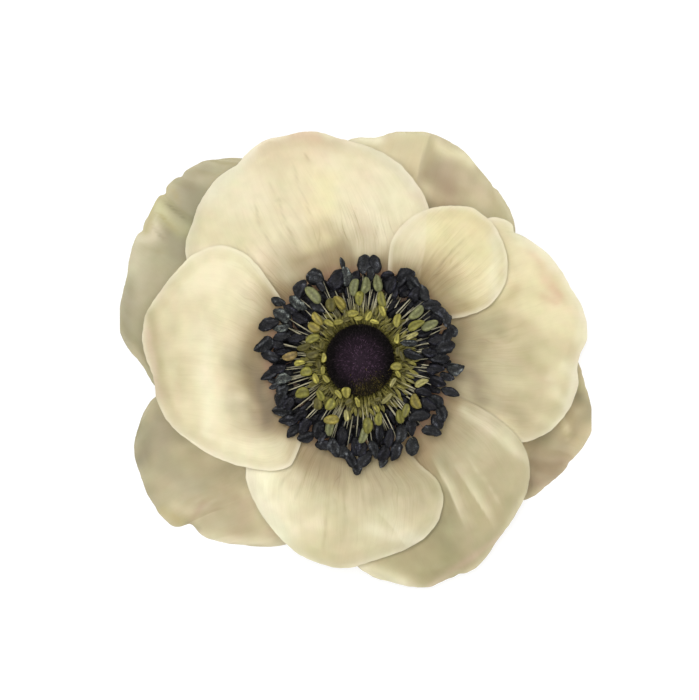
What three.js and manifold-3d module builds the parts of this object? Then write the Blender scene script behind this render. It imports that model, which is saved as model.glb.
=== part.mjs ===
// Anemone flower, cut just under its petals and lying on its back with the bloom facing up.
// Millimetres, +Z up, +X to the right and +Y to the top of the bloom seen from above.
import * as THREE from 'three';
import { mergeVertices } from 'three/addons/utils/BufferGeometryUtils.js';
import Module from 'manifold-3d';

const wasm = await Module();
wasm.setup();

// Petals: a blade between a short arc on the receptacle and its own outline
const PETAL_THICKNESS = 0.65;
const PETAL_BASE_RADIUS = 4.9;
const PETAL_CELLS_ALONG = 10;
const PETAL_CELLS_ACROSS = 11;
const PETAL_CORNER = 0.34;
const PROFILE_START = 5;
const PROFILE_STEP = 7;
const SIDE_ANGLE = 45;
const SIDE_LIMIT = 1.6;
const SIDE_RAMP = 15;
const SLOPE_STEP = 0.05;

// Receptacle: the cut stub of the stalk, its flare and the column that the petals grow from
const STUB_RADIUS = 2.4;
const STUB_HEIGHT = 3.0;
const FLARE_TOP = 5.8;
const FLARE_BEND = 1.4;
const FLARE_STEPS = 6;
const COLUMN_RADIUS = 4.6;
const COLUMN_TOP = 9.4;
const STALK_BEVEL = 0.3;
const STALK_SIDES = 20;

// Stamen discs and the pistil head stand on the column, each a small gap above the last
const GAP = 0.3;
const DARK_DISC = { radius: 6.8, bottom: COLUMN_TOP + GAP, thickness: 1.3 };
const GREEN_DISC = { radius: 6.1, bottom: DARK_DISC.bottom + DARK_DISC.thickness + GAP, thickness: 1.1 };
const HEAD_BOTTOM = GREEN_DISC.bottom + GREEN_DISC.thickness + GAP;
const HEAD = { halfX: 5.4, halfY: 5.85, height: 6.4, rings: 12, sides: 24 };
// The head is a sphere cut off this far below its middle. Its bumps cover this much of the height
// from the top. Both, and the radius of a bump, are in radii of the sphere.
const HEAD_CUT = 0.62;
const HEAD_BUMPS = { count: 150, relief: 0.16, radius: 0.13, span: 1.5 };

// Stamens: rings of anthers on filaments, from the outermost ring in
const DARK_RINGS = [
  { count: 40, radius: 16.4, spread: 0.9, height: 13.2, rise: 0.35, length: 3.2, width: 1.9, depth: 1.3 },
  { count: 36, radius: 14.3, spread: 0.8, height: 14.1, rise: 0.35, length: 3.1, width: 1.8, depth: 1.3 },
  { count: 28, radius: 12.5, spread: 0.7, height: 14.75, rise: 0.35, length: 2.9, width: 1.7, depth: 1.2 },
];
const GREEN_RINGS = [
  { count: 16, radius: 11.3, spread: 0.9, height: 16.6, rise: 0.3, length: 2.5, width: 1.5, depth: 1.1 },
  { count: 20, radius: 9.5, spread: 0.7, height: 17.0, rise: 0.3, length: 2.1, width: 1.4, depth: 1.1 },
  { count: 26, radius: 8.0, spread: 0.4, height: 16.6, rise: 0.3, length: 1.3, width: 1.0, depth: 1.0 },
];
const FILAMENT_RADIUS = 0.27;
const FILAMENT_SIDES = 3;
const FILAMENT_ROOT_DEPTH = 0.5;
const RING_OFFSET_Y = -0.4;
const RING_UNEVENNESS = 0.22;
const ANTHER_TURN = 35;
const ANTHER_DROOP = 12;
const DISC_SIDES = 24;
const MERGE_DISTANCE = 1e-4;

// Each outline runs counter-clockwise, in millimetres about the flower's axis, from the base
// corner at direction - half to the one at direction + half. The heights are those of the blade's
// middle at 5, 12, 19, 26, 33 and 40 mm from the axis. Tilt raises the counter-clockwise side and
// cup raises both sides.
const BACK_HEIGHTS = [6.4, 6.1, 5.3, 3.6, 0.7, 0.0];
const SPREAD_HEIGHTS = [7.4, 7.6, 7.9, 7.8, 6.2, 3.8];
const PETALS = {
  petal_back_lower_left: {
    direction: 216, half: 26, heights: BACK_HEIGHTS, cup: 1.0, tilt: 0,
    outline: [[-15, -4.6], [-26, -6], [-32.5, -5.9], [-35.2, -7], [-37.2, -11.2], [-38.1, -15.5],
      [-36.8, -20], [-35.1, -24], [-31.6, -28], [-28.8, -28.1], [-25.5, -30.1], [-20, -31.1],
      [-13, -31.1], [-8, -28], [-5, -21], [-2.8, -12]],
  },
  petal_back_upper_left: {
    direction: 146, half: 26, heights: BACK_HEIGHTS, cup: 0.4, tilt: 0,
    outline: [[-3.2, 12], [-6, 22], [-9.5, 30], [-15, 33.6], [-20.5, 34], [-26, 33.6], [-30, 31.6],
      [-33.5, 28.4], [-35.8, 24.3], [-38.3, 19.6], [-39.4, 14], [-40.8, 7.3], [-39.7, 3],
      [-36.6, -1], [-34.2, -4.4], [-27, -3.6], [-14, -1.2]],
  },
  petal_back_upper_right: {
    direction: 63, half: 26, heights: BACK_HEIGHTS, cup: 1.0, tilt: 0,
    outline: [[11, 6.3], [19, 11], [24.5, 16.5], [26.1, 21.8], [24.3, 27], [20.5, 31.7],
      [17.2, 35.4], [12.8, 37.9], [8, 38.8], [3, 37.6], [-2.2, 36.8], [-4.6, 31], [-4, 20],
      [-2.2, 10.5]],
  },
  petal_back_right: {
    direction: -22, half: 24, heights: BACK_HEIGHTS, cup: 1.0, tilt: 0,
    outline: [[6.5, -10.5], [13, -18], [20.5, -23.2], [27.6, -23.6], [32.9, -20.1], [36.8, -15.8],
      [39.1, -12], [39.2, -8.8], [38, -4.5], [36.4, 0.2], [31, 3], [21, 3.4], [12, 2.2]],
  },
  petal_top: {
    direction: 108, half: 24, heights: SPREAD_HEIGHTS, cup: 0.6, tilt: 0,
    outline: [[4.5, 10.5], [9.4, 16], [11.9, 22], [10.9, 27.3], [7, 32.7], [2.2, 35.7], [-3, 37.3],
      [-8, 38.6], [-12.8, 37.9], [-16.9, 36.7], [-20.8, 33.3], [-25.3, 29.4], [-28.3, 23.3],
      [-29.4, 17.5], [-26, 11], [-15, 6]],
  },
  petal_right: {
    direction: 10, half: 17, heights: SPREAD_HEIGHTS, cup: 0.6, tilt: 0, corner: 0.3,
    outline: [[11.5, -6], [19, -11.5], [26, -13.8], [31, -12.4], [34.8, -8.8], [36.7, -4.3],
      [36.6, -0.6], [38.2, 3.6], [37.5, 8.6], [35.4, 12.3], [32.7, 16.6], [29.5, 19.5],
      [26.6, 21.2], [25.4, 23], [22, 23.8], [17, 20.5], [11.5, 13.5], [8, 8]],
  },
  petal_lower_right: {
    direction: -56, half: 21, heights: [7.5, 8.73, 9.0, 8.95, 7.3, 4.9], cup: 0.6, tilt: 0.5,
    outline: [[0.8, -12], [-1.3, -22], [-2.6, -31], [0, -35.2], [5, -37.4], [11.2, -38.5],
      [14.5, -37.1], [19.5, -35.2], [23.5, -30], [27.4, -24], [28.6, -18.5], [27.2, -14],
      [23, -9.7], [18, -6.9], [11.5, -4.4]],
  },
  petal_upper_right: {
    direction: 46, half: 16, heights: [8.35, 8.85, 9.6, 9.6, 8.4, 6.4], cup: 0.6, tilt: 0,
    outline: [[10.5, 4.8], [14.5, 6.7], [18, 7.4], [21.3, 8.9], [23.8, 11.7], [24.8, 15.5],
      [24.1, 19.5], [22.2, 23], [19, 25.5], [15, 25.9], [11, 25.2], [7.5, 23.1], [5.3, 20],
      [4.7, 16], [4.6, 11]],
  },
  petal_bottom: {
    direction: -101, half: 20, heights: [8.5, 9.58, 9.95, 10.1, 8.6, 6.6], cup: 0.5, tilt: 0.4,
    outline: [[-9.5, -9], [-16.5, -14], [-19.2, -18.3], [-18, -23.2], [-15.1, -28], [-11, -32.1],
      [-6.8, -34.2], [-2.2, -35], [3, -33.5], [8.5, -31.4], [12.5, -28], [13.9, -24],
      [13.1, -20.4], [9.8, -17.2], [4.8, -11]],
  },
  petal_left: {
    direction: 180, half: 24, heights: [8.5, 10.3, 10.6, 10.9, 9.8, 7.8], cup: 0.4, tilt: 0.5,
    outline: [[-11, 7.5], [-14.6, 12.3], [-17.6, 16.3], [-20.5, 18.5], [-24, 19.2], [-28, 17.7],
      [-31.5, 14.2], [-34.6, 10.1], [-36.2, 7], [-36.4, 2], [-34.9, -2.5], [-34, -7],
      [-32, -10.7], [-27.5, -14.4], [-22, -17.2], [-15.5, -18.5], [-11.9, -17.9],
      [-10.5, -15.5], [-8.3, -9.5]],
  },
};

function radians(degrees) {
  return THREE.MathUtils.degToRad(degrees);
}

function clamp(value, low, high) {
  return THREE.MathUtils.clamp(value, low, high);
}

// One seeded stream of numbers from 0 to 1 for everything that varies
function makeRandom(seed) {
  let state = seed;
  return () => {
    state = (state * 1664525 + 1013904223) % 4294967296;
    return state / 4294967296;
  };
}

// Point at share (0 to 1 of the chord length) on a smooth open curve through the points
function curvePoint(points, share) {
  const first = points[0].clone().multiplyScalar(2).sub(points[1]);
  const last = points.at(-1).clone().multiplyScalar(2).sub(points.at(-2));
  const all = [first, ...points, last];
  const lengths = points.map(() => 0);
  for (let i = 1; i < points.length; i += 1) {
    lengths[i] = lengths[i - 1] + points[i].distanceTo(points[i - 1]);
  }
  const target = share * lengths.at(-1);
  let k = 0;
  while (k < points.length - 2 && lengths[k + 1] <= target) {
    k += 1;
  }
  const span = lengths[k + 1] - lengths[k];
  const f = (target - lengths[k]) / span;
  const before = all[k + 1].distanceTo(all[k]);
  const after = all[k + 3].distanceTo(all[k + 2]);
  const startSlope = all[k + 2].clone().sub(all[k]).multiplyScalar(span / (before + span));
  const endSlope = all[k + 3].clone().sub(all[k + 1]).multiplyScalar(span / (span + after));
  return new THREE.Vector2()
    .addScaledVector(all[k + 1], 2 * f ** 3 - 3 * f ** 2 + 1)
    .addScaledVector(startSlope, f ** 3 - 2 * f ** 2 + f)
    .addScaledVector(all[k + 2], 3 * f ** 2 - 2 * f ** 3)
    .addScaledVector(endSlope, f ** 3 - f ** 2);
}

// Point of the petal's arc on the receptacle: side runs from -1 to 1 round the flower
function baseCorner(petal, side) {
  const angle = radians(petal.direction + side * petal.half);
  return new THREE.Vector2(Math.cos(angle), Math.sin(angle)).multiplyScalar(PETAL_BASE_RADIUS);
}

// Plan position of the blade: along runs 0 to 1 from base to tip, across 0 to 1 round the flower
function bladePlan(petal, along, across) {
  const outline = petal.outline.map(([x, y]) => new THREE.Vector2(x, y));
  const edge = [baseCorner(petal, -1), ...outline, baseCorner(petal, 1)];
  const corner = petal.corner ?? PETAL_CORNER;
  const base = baseCorner(petal, 2 * across - 1);
  const tip = curvePoint(edge, corner + (1 - 2 * corner) * across);
  const near = curvePoint(edge, corner * along);
  const far = curvePoint(edge, 1 - corner * along);
  return new THREE.Vector2()
    .addScaledVector(base, 1 - along)
    .addScaledVector(tip, along)
    .addScaledVector(near, 1 - across)
    .addScaledVector(far, across)
    .addScaledVector(edge[0], -(1 - along) * (1 - across))
    .addScaledVector(edge.at(-1), -(1 - along) * across)
    .addScaledVector(curvePoint(edge, corner), -along * (1 - across))
    .addScaledVector(curvePoint(edge, 1 - corner), -along * across);
}

function profileHeight(heights, radius) {
  const n = heights.length;
  const place = clamp((radius - PROFILE_START) / PROFILE_STEP, 0, n - 1);
  const k = Math.min(Math.floor(place), n - 2);
  const f = place - k;
  const padded = [2 * heights[0] - heights[1], ...heights, 2 * heights[n - 1] - heights[n - 2]];
  const [a, b, c, d] = padded.slice(k, k + 4);
  const square = (2 * a - 5 * b + 4 * c - d) * f ** 2;
  return 0.5 * (2 * b + (c - a) * f + square + (3 * b - a - 3 * c + d) * f ** 3);
}

// Height of the blade's middle over a point, never so low that its underside leaves the table
function bladeHeight(petal, x, y) {
  const radius = Math.hypot(x, y);
  const turn = THREE.MathUtils.radToDeg(Math.atan2(y, x)) - petal.direction;
  const offset = THREE.MathUtils.euclideanModulo(turn + 180, 360) - 180;
  const side = clamp(offset / SIDE_ANGLE, -SIDE_LIMIT, SIDE_LIMIT);
  const ramp = THREE.MathUtils.smoothstep(radius, PROFILE_START, PROFILE_START + SIDE_RAMP);
  const raised = ramp * (petal.tilt * side + petal.cup * side * side);
  return Math.max(profileHeight(petal.heights, radius) + raised, PETAL_THICKNESS / 2);
}

function bladeNormal(petal, x, y) {
  const riseX = bladeHeight(petal, x + SLOPE_STEP, y) - bladeHeight(petal, x - SLOPE_STEP, y);
  const riseY = bladeHeight(petal, x, y + SLOPE_STEP) - bladeHeight(petal, x, y - SLOPE_STEP);
  return new THREE.Vector3(-riseX, -riseY, 2 * SLOPE_STEP).normalize();
}

// One blade: the same grid of triangles on both faces and a strip round the rim
function petalGeometry(petal) {
  const columns = PETAL_CELLS_ACROSS + 1;
  const upper = [];
  const lower = [];
  for (let i = 0; i <= PETAL_CELLS_ALONG; i += 1) {
    for (let j = 0; j <= PETAL_CELLS_ACROSS; j += 1) {
      const plan = bladePlan(petal, i / PETAL_CELLS_ALONG, j / PETAL_CELLS_ACROSS);
      const middle = new THREE.Vector3(plan.x, plan.y, bladeHeight(petal, plan.x, plan.y));
      const half = bladeNormal(petal, plan.x, plan.y).multiplyScalar(PETAL_THICKNESS / 2);
      upper.push(middle.clone().add(half));
      lower.push(middle.clone().sub(half));
    }
  }
  for (const point of lower) {
    point.z = Math.max(point.z, 0);
  }
  const count = upper.length;
  const faces = [];
  for (let i = 0; i < PETAL_CELLS_ALONG; i += 1) {
    for (let j = 0; j < PETAL_CELLS_ACROSS; j += 1) {
      const a = i * columns + j;
      const b = a + columns;
      faces.push(a, b, b + 1, a, b + 1, a + 1);
      faces.push(count + a, count + b + 1, count + b, count + a, count + a + 1, count + b + 1);
    }
  }
  for (const [from, to] of rimEdges(PETAL_CELLS_ALONG, PETAL_CELLS_ACROSS)) {
    faces.push(count + from, count + to, to, count + from, to, from);
  }
  const geometry = new THREE.BufferGeometry().setFromPoints([...upper, ...lower]);
  geometry.setIndex(faces);
  return geometry;
}

// Pairs of neighbouring grid points round the blade, counter-clockwise seen from above
function rimEdges(along, across) {
  const columns = across + 1;
  const loop = [];
  for (let i = 0; i < along; i += 1) {
    loop.push(i * columns);
  }
  for (let j = 0; j < across; j += 1) {
    loop.push(along * columns + j);
  }
  for (let i = along; i > 0; i -= 1) {
    loop.push(i * columns + across);
  }
  for (let j = across; j > 0; j -= 1) {
    loop.push(j);
  }
  return loop.map((from, k) => [from, loop[(k + 1) % loop.length]]);
}

// Stub with a slightly rounded foot, the flare under the petals and the column they grow from
function receptacleGeometry() {
  const flare = new THREE.CubicBezierCurve(
    new THREE.Vector2(STUB_RADIUS, STUB_HEIGHT),
    new THREE.Vector2(STUB_RADIUS, STUB_HEIGHT + FLARE_BEND),
    new THREE.Vector2(COLUMN_RADIUS, FLARE_TOP - FLARE_BEND),
    new THREE.Vector2(COLUMN_RADIUS, FLARE_TOP),
  );
  const profile = [
    new THREE.Vector2(0, 0),
    new THREE.Vector2(STUB_RADIUS - STALK_BEVEL, 0),
    new THREE.Vector2(STUB_RADIUS, STALK_BEVEL),
    ...flare.getPoints(FLARE_STEPS),
    new THREE.Vector2(COLUMN_RADIUS, COLUMN_TOP - STALK_BEVEL),
    new THREE.Vector2(COLUMN_RADIUS - STALK_BEVEL, COLUMN_TOP),
    new THREE.Vector2(0, COLUMN_TOP),
  ];
  const geometry = new THREE.LatheGeometry(profile, STALK_SIDES);
  geometry.rotateX(Math.PI / 2);
  return geometry;
}

// Rounded head with a flat foot, covered with small bumps in a sunflower spiral
function headGeometry() {
  const geometry = new THREE.SphereGeometry(1, HEAD.sides, HEAD.rings);
  geometry.rotateX(Math.PI / 2);
  const position = geometry.getAttribute('position');
  const point = new THREE.Vector3();
  const golden = Math.PI * (3 - Math.sqrt(5));
  const bumps = [];
  for (let i = 0; i < HEAD_BUMPS.count; i += 1) {
    const z = 1 - (HEAD_BUMPS.span * (i + 0.5)) / HEAD_BUMPS.count;
    const flat = Math.sqrt(1 - z * z);
    bumps.push(new THREE.Vector3(flat * Math.cos(i * golden), flat * Math.sin(i * golden), z));
  }
  for (let i = 0; i < position.count; i += 1) {
    point.fromBufferAttribute(position, i);
    const nearest = Math.min(...bumps.map((bump) => bump.distanceTo(point)));
    const rise = Math.max(0, 1 - nearest / HEAD_BUMPS.radius);
    const swell = 1 + (HEAD_BUMPS.relief / HEAD.halfX) * rise;
    const share = (Math.max(point.z, -HEAD_CUT) + HEAD_CUT) / (1 + HEAD_CUT);
    const z = HEAD_BOTTOM + HEAD.height * share;
    position.setXYZ(i, point.x * HEAD.halfX * swell, point.y * HEAD.halfY * swell, z);
  }
  return geometry;
}

// A closed mesh as a solid that can be joined with others
function toSolid(geometry) {
  const bare = geometry.clone();
  bare.deleteAttribute('normal');
  bare.deleteAttribute('uv');
  const merged = mergeVertices(bare, MERGE_DISTANCE);
  return new wasm.Manifold(new wasm.Mesh({
    numProp: 3,
    vertProperties: Float32Array.from(merged.getAttribute('position').array),
    triVerts: Uint32Array.from(merged.getIndex().array),
  }));
}

function fromSolid(solid) {
  const mesh = solid.getMesh();
  const geometry = new THREE.BufferGeometry();
  geometry.setAttribute('position', new THREE.BufferAttribute(mesh.vertProperties, 3));
  geometry.setIndex(new THREE.BufferAttribute(mesh.triVerts, 1));
  return geometry;
}

function filamentSolid(root, tip) {
  const length = root.distanceTo(tip);
  const geometry = new THREE.CylinderGeometry(FILAMENT_RADIUS, FILAMENT_RADIUS, length, FILAMENT_SIDES);
  const upright = new THREE.Vector3(0, 1, 0);
  const direction = tip.clone().sub(root).normalize();
  geometry.applyQuaternion(new THREE.Quaternion().setFromUnitVectors(upright, direction));
  const middle = root.clone().lerp(tip, 0.5);
  geometry.translate(middle.x, middle.y, middle.z);
  return toSolid(geometry);
}

function antherSolid(ring, place, heading, droop) {
  const geometry = new THREE.IcosahedronGeometry(1, 0);
  geometry.scale(ring.length / 2, ring.width / 2, ring.depth / 2);
  geometry.rotateY(droop);
  geometry.rotateZ(heading);
  geometry.translate(place.x, place.y, place.z);
  return toSolid(geometry);
}

// A disc round the flower's axis with every filament and anther of its rings joined to it
function stamenGeometry(disc, rings, seed) {
  const random = makeRandom(seed);
  const vary = (amount) => (2 * random() - 1) * amount;
  const plate = new THREE.CylinderGeometry(disc.radius, disc.radius, disc.thickness, DISC_SIDES);
  plate.rotateX(Math.PI / 2);
  plate.translate(0, 0, disc.bottom + disc.thickness / 2);
  let solid = toSolid(plate);
  const rootRadius = disc.radius - FILAMENT_ROOT_DEPTH;
  for (const [row, ring] of rings.entries()) {
    const rootHeight = disc.bottom + (disc.thickness * (row + 1)) / (rings.length + 1);
    for (let i = 0; i < ring.count; i += 1) {
      const angle = (2 * Math.PI * (i + 0.5 * row + vary(RING_UNEVENNESS))) / ring.count;
      const radius = ring.radius + vary(ring.spread);
      const height = ring.height + vary(ring.rise);
      const heading = angle + radians(vary(ANTHER_TURN));
      const droop = radians(ANTHER_DROOP / 2 + vary(ANTHER_DROOP));
      const outward = new THREE.Vector3(Math.cos(angle), Math.sin(angle), 0);
      const place = outward.clone().multiplyScalar(radius);
      place.add(new THREE.Vector3(0, RING_OFFSET_Y, height));
      const root = outward.clone().multiplyScalar(rootRadius).setZ(rootHeight);
      solid = solid.add(filamentSolid(root, place)).add(antherSolid(ring, place, heading, droop));
    }
  }
  return fromSolid(solid);
}

function addMesh(group, name, geometry, color, roughness) {
  const material = new THREE.MeshStandardMaterial({ color, roughness, metalness: 0 });
  const mesh = new THREE.Mesh(geometry, material);
  mesh.name = name;
  group.add(mesh);
}

const flower = new THREE.Group();
for (const [name, petal] of Object.entries(PETALS)) {
  addMesh(flower, name, petalGeometry(petal), name.includes('back') ? '#cfcaa8' : '#ece3bf', 0.6);
}
addMesh(flower, 'stalk_receptacle', receptacleGeometry(), '#8c9a58', 0.6);
addMesh(flower, 'stamens_dark', stamenGeometry(DARK_DISC, DARK_RINGS, 7), '#22232c', 0.5);
addMesh(flower, 'stamens_green', stamenGeometry(GREEN_DISC, GREEN_RINGS, 11), '#a5a258', 0.55);
addMesh(flower, 'pistil_head', headGeometry(), '#251a2c', 0.7);

// The origin is under the middle of the bloom's box, on the surface that it lies on
const box = new THREE.Box3().setFromObject(flower, true);
const middle = box.getCenter(new THREE.Vector3());
flower.position.set(-middle.x, -middle.y, -box.min.z);

export default flower;
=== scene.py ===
# Anemone bloom lying face up: fine petals, stamens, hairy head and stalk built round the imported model.
# Metres in Blender. Lengths below are millimetres about the flower's axis unless a name says otherwise.
import math

import bpy
import numpy as np
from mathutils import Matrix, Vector


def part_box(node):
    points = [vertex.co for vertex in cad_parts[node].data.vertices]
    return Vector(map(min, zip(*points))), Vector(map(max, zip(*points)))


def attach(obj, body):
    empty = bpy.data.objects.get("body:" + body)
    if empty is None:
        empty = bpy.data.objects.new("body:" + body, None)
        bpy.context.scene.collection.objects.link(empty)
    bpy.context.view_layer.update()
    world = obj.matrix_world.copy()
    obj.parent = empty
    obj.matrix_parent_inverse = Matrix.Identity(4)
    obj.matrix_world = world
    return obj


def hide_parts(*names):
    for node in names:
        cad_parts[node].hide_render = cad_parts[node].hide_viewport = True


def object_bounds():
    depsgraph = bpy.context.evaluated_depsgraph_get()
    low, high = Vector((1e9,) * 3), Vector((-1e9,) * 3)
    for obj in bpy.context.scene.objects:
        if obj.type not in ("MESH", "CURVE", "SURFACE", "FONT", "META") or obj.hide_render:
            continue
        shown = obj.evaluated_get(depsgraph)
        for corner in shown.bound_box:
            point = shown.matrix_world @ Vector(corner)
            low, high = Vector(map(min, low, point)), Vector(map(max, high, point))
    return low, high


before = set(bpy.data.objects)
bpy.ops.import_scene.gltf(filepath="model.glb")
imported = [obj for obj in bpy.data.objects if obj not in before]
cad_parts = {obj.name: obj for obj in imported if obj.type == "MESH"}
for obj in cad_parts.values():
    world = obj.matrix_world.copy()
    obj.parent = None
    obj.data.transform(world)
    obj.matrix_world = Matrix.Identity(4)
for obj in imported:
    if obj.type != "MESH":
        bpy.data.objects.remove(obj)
cad_low, cad_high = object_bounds()
MM = 0.001
stalk_low, stalk_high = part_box("stalk_receptacle")
AXIS_X = (stalk_low.x + stalk_high.x) / 2
AXIS_Y = (stalk_low.y + stalk_high.y) / 2

# Photograph: size of its frame, the flower's axis in it and the scale at the petals
FRAME_WIDTH = 699
FRAME_HEIGHT = 700
AXIS_PIXEL_X = 360
AXIS_PIXEL_Y = 360
PIXEL_MM = 80 / 475
LENS_MM = 250
SENSOR_MM = 36
PETAL_PLANE_MM = 7
CAMERA_END_M = 10

# Floor and lights, in metres and watts. The floor glows a little, so that it stays white.
FLOOR_SIZE_M = 3.0
FLOOR_GREY = (0.28, 0.28, 0.28, 1)
FLOOR_GLOW = 0.78
SKY_STRENGTH = 0.30
LIGHT_COLOR = (1.0, 0.985, 0.965)
LIGHTS = {
    "key": dict(place=(-0.09, 0.12, 0.99), size=0.65, power=8.8),
    "fill": dict(place=(0.5, -0.3, 0.8), size=0.8, power=1.0)}

# Petal blades: thickness, the thinner rim and how far in it reaches, the angle from which an edge is
# drawn sharp, the radius of their base, the part of the outline's length that is each side, and the
# least height of their middle
PETAL_THICKNESS = 0.30
RIM_THICKNESS = 0.12
RIM_TAPER = 2.5
RIM_ANGLE = 50
PETAL_BASE_RADIUS = 4.9
PETAL_CORNER = 0.34
LOWEST_MIDDLE = 0.16

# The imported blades' surface: heights at radii from the start on, and its turn up at the sides
PROFILE_START = 5
PROFILE_STEP = 7
SIDE_ANGLE = 45
SIDE_LIMIT = 1.6
SIDE_RAMP = 15
CAD_HALF_THICKNESS = 0.325
BACK_HEIGHTS = [6.4, 6.1, 5.3, 3.6, 0.7, 0.0]
SPREAD_HEIGHTS = [7.4, 7.6, 7.9, 7.8, 6.2, 3.8]

# Fineness of the blades and of the search for their rim
FRONT_ROWS = 112
BACK_ROWS = 64
COLUMNS = 124
RIM_STEPS = 260

# Relief of the blades: where the drooping and the waved rim set in, from radius to radius and over
# which distances from the rim, the ribs along the blade and the soft swellings
DROOP_RADII = (15, 20)
DROOP_REACH = 2.7
WAVE_RADII = (22, 34)
WAVE_REACH = (1, 8)
RIBS = 14
RIB_HEIGHT = 0.014
RIB_RADII = (8, 14)
RIB_REACH = (0.3, 3)
SWELL_HEIGHT = 0.085
SWELL_LENGTH = 9
SWELL_RADII = (12, 22)

# Layers of seeded noise, each with its size, its wavelength and what it adds to the petal's seed:
# unevenness of the outline where it is free, drift of the ribs, of the colour in lightness and from
# green to rose, of the edge of the petal's own colour and of the veins, breaks in the creases, and how
# far strokes (as a part of their width), creases and panels stray
FREE_RADII = (16, 24)
RIM_UNEVEN = ((0.05, 4.5, 0), (0.03, 1.5, 13))
RIB_DRIFT = ((0.4, 14, 1),)
LIGHTNESS = ((0.014, 11, 4), (0.012, 2.6, 5))
ROSINESS = ((0.011, 7, 14), (0.006, 2.2, 15))
ROSY_TINT = (1, -0.7, 0.6)
UNDER_LIGHTNESS = ((0.03, 6, 9),)
OWN_DRIFT = ((0.8, 9, 3),)
VEIN_DRIFT = ((0.35, 12, 8),)
CREASE_BREAKS = ((0.35, 2.6, 10),)
STROKE_STRAY = (0.35, 7, 6)
CREASE_STRAY = (0.15, 5, 6)
PANEL_STRAY = (0.25, 12, 11)

# Radii over which one colour of a blade passes into the next: from the painted shade under the stamens
# into the heart, into the brown base with the stamens' painted shade and into the petal's own colour, out
# of the veins, and into the own colour on the underside
HEART_RADII = (10, 14.8)
BROWN_AND_SHADE_RADII = (14.8, 17)
OWN_RADII = (16, 25)
VEIN_RADII = (17, 37)
UNDER_RADII = (5, 24)

# Petal colours, sRGB 0 to 255, among them painted shade and painted light, and the strength and the
# distances over which the painted highlight on front rims and the painted shade on back rims fade inward
CREAM = (225, 213, 178)
BUTTER = (227, 216, 178)
SAND = (214, 203, 166)
SHADE = (184, 173, 135)
# painted shade deep under the stamens, near black
DEEP_SHADE = (44, 30, 24)
HEART = (170, 132, 100)
# brown of the petals' base, also painted shade that the stamens cast
BROWN_AND_SHADE = (150, 129, 86)
# olive of the tissue, also painted shade along folds and notches and a painted shadow beside an overlying
# rim
OLIVE_AND_SHADE = (166, 154, 104)
MOSS = (172, 170, 116)
GREY = (176, 168, 136)
PINK = (214, 186, 166)
ROSE = (206, 172, 144)
MAUVE = (170, 146, 122)
VEIN = (166, 154, 114)
# painted light: highlights on folds and rims, and light laid over the shade under overlying rims
PAINTED_LIGHT = (242, 235, 203)
# painted highlight along the front petals' rims
RIM_HIGHLIGHT = (240, 231, 200)
RIM_HIGHLIGHT_SHARE = 0.5
RIM_HIGHLIGHT_REACH = (0.1, 1.1)
# painted shade along the back petals' rims
RIM_SHADE = (172, 163, 126)
RIM_SHADE_SHARE = 0.4
RIM_SHADE_REACH = (0.2, 2.2)
UNDER_BASE = (150, 150, 98)
UNDER_SHADE = 0.92

# Petal tissue, and the patterns that darken it: numbers across and along the blade (of the mottle, per
# metre) and detail, then the span of noise over which the pattern sets in and its strength from and to.
# The veins add VEIN_SHARE of theirs, and PETAL_RELIEF is the strength and the depth in metres of both.
PETAL_SKIN = dict(
    roughness=0.55, Subsurface_Weight=0.35, Subsurface_Radius=(1.0, 0.95, 0.85),
    Subsurface_Scale=0.0010, Sheen_Weight=0.1, Sheen_Roughness=0.5)
FIBRES = (120, 9, 5)
FIBRE_SPAN = (0.35, 0.78, 0.0, 0.07)
STREAKS = (34, 3.0, 4)
STREAK_SPAN = (0.36, 0.68, 0.0, 0.4)
MOTTLE = (420, 7)
MOTTLE_SPAN = (0.34, 0.68, 0.0, 0.14)
VEIN_SHARE = 0.5
PATTERN_DARK = (0.66, 0.62, 0.51)
PETAL_RELIEF = (0.3, 0.00006)

# Layers of veins: lines across the blade, how far they stray, their width, the patches of them across
# and along the blade, and the noise over which a patch fills
VEIN_LAYERS = (
    (15, 3.0, 0.07, 7, 2.2, 0.45, 0.6),
    (34, 5.0, 0.1, 11, 3.0, 0.5, 0.66),
    (75, 7.0, 0.14, 17, 3.5, 0.45, 0.62))

# Speckled skins: the specks' number per metre, the span of noise over which they darken, how dark they
# are, and the strength and depth in metres of their relief
SPECKLED = {
    "anther_dark": dict(
        roughness=0.36, scale=4200, span=(0.36, 0.52), dark=(0.3, 0.3, 0.36), strength=0.8,
        distance=0.0002, Specular_IOR_Level=0.18),
    "anther_green": dict(
        roughness=0.55, scale=2600, span=(0.3, 0.7), dark=(0.66, 0.68, 0.55), strength=0.5,
        distance=0.0001, Specular_IOR_Level=0.3),
    "filament": dict(
        roughness=0.45, scale=1200, span=(0, 1), dark=(0.85, 0.86, 0.8), strength=0.2,
        distance=0.00005, Specular_IOR_Level=0.35),
    "head": dict(
        roughness=0.8, scale=1500, span=(0, 1), dark=(0.5, 0.5, 0.5), strength=0.5,
        distance=0.0001, Specular_IOR_Level=0.1),
    "hair": dict(
        roughness=0.7, scale=900, span=(0, 1), dark=(0.7, 0.7, 0.7), strength=0.1,
        distance=0.00002, Specular_IOR_Level=0.1),
    "stalk": dict(
        roughness=0.6, scale=700, span=(0, 1), dark=(0.75, 0.8, 0.7), strength=0.3,
        distance=0.0001, Subsurface_Weight=0.1, Subsurface_Scale=0.001)}
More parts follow.
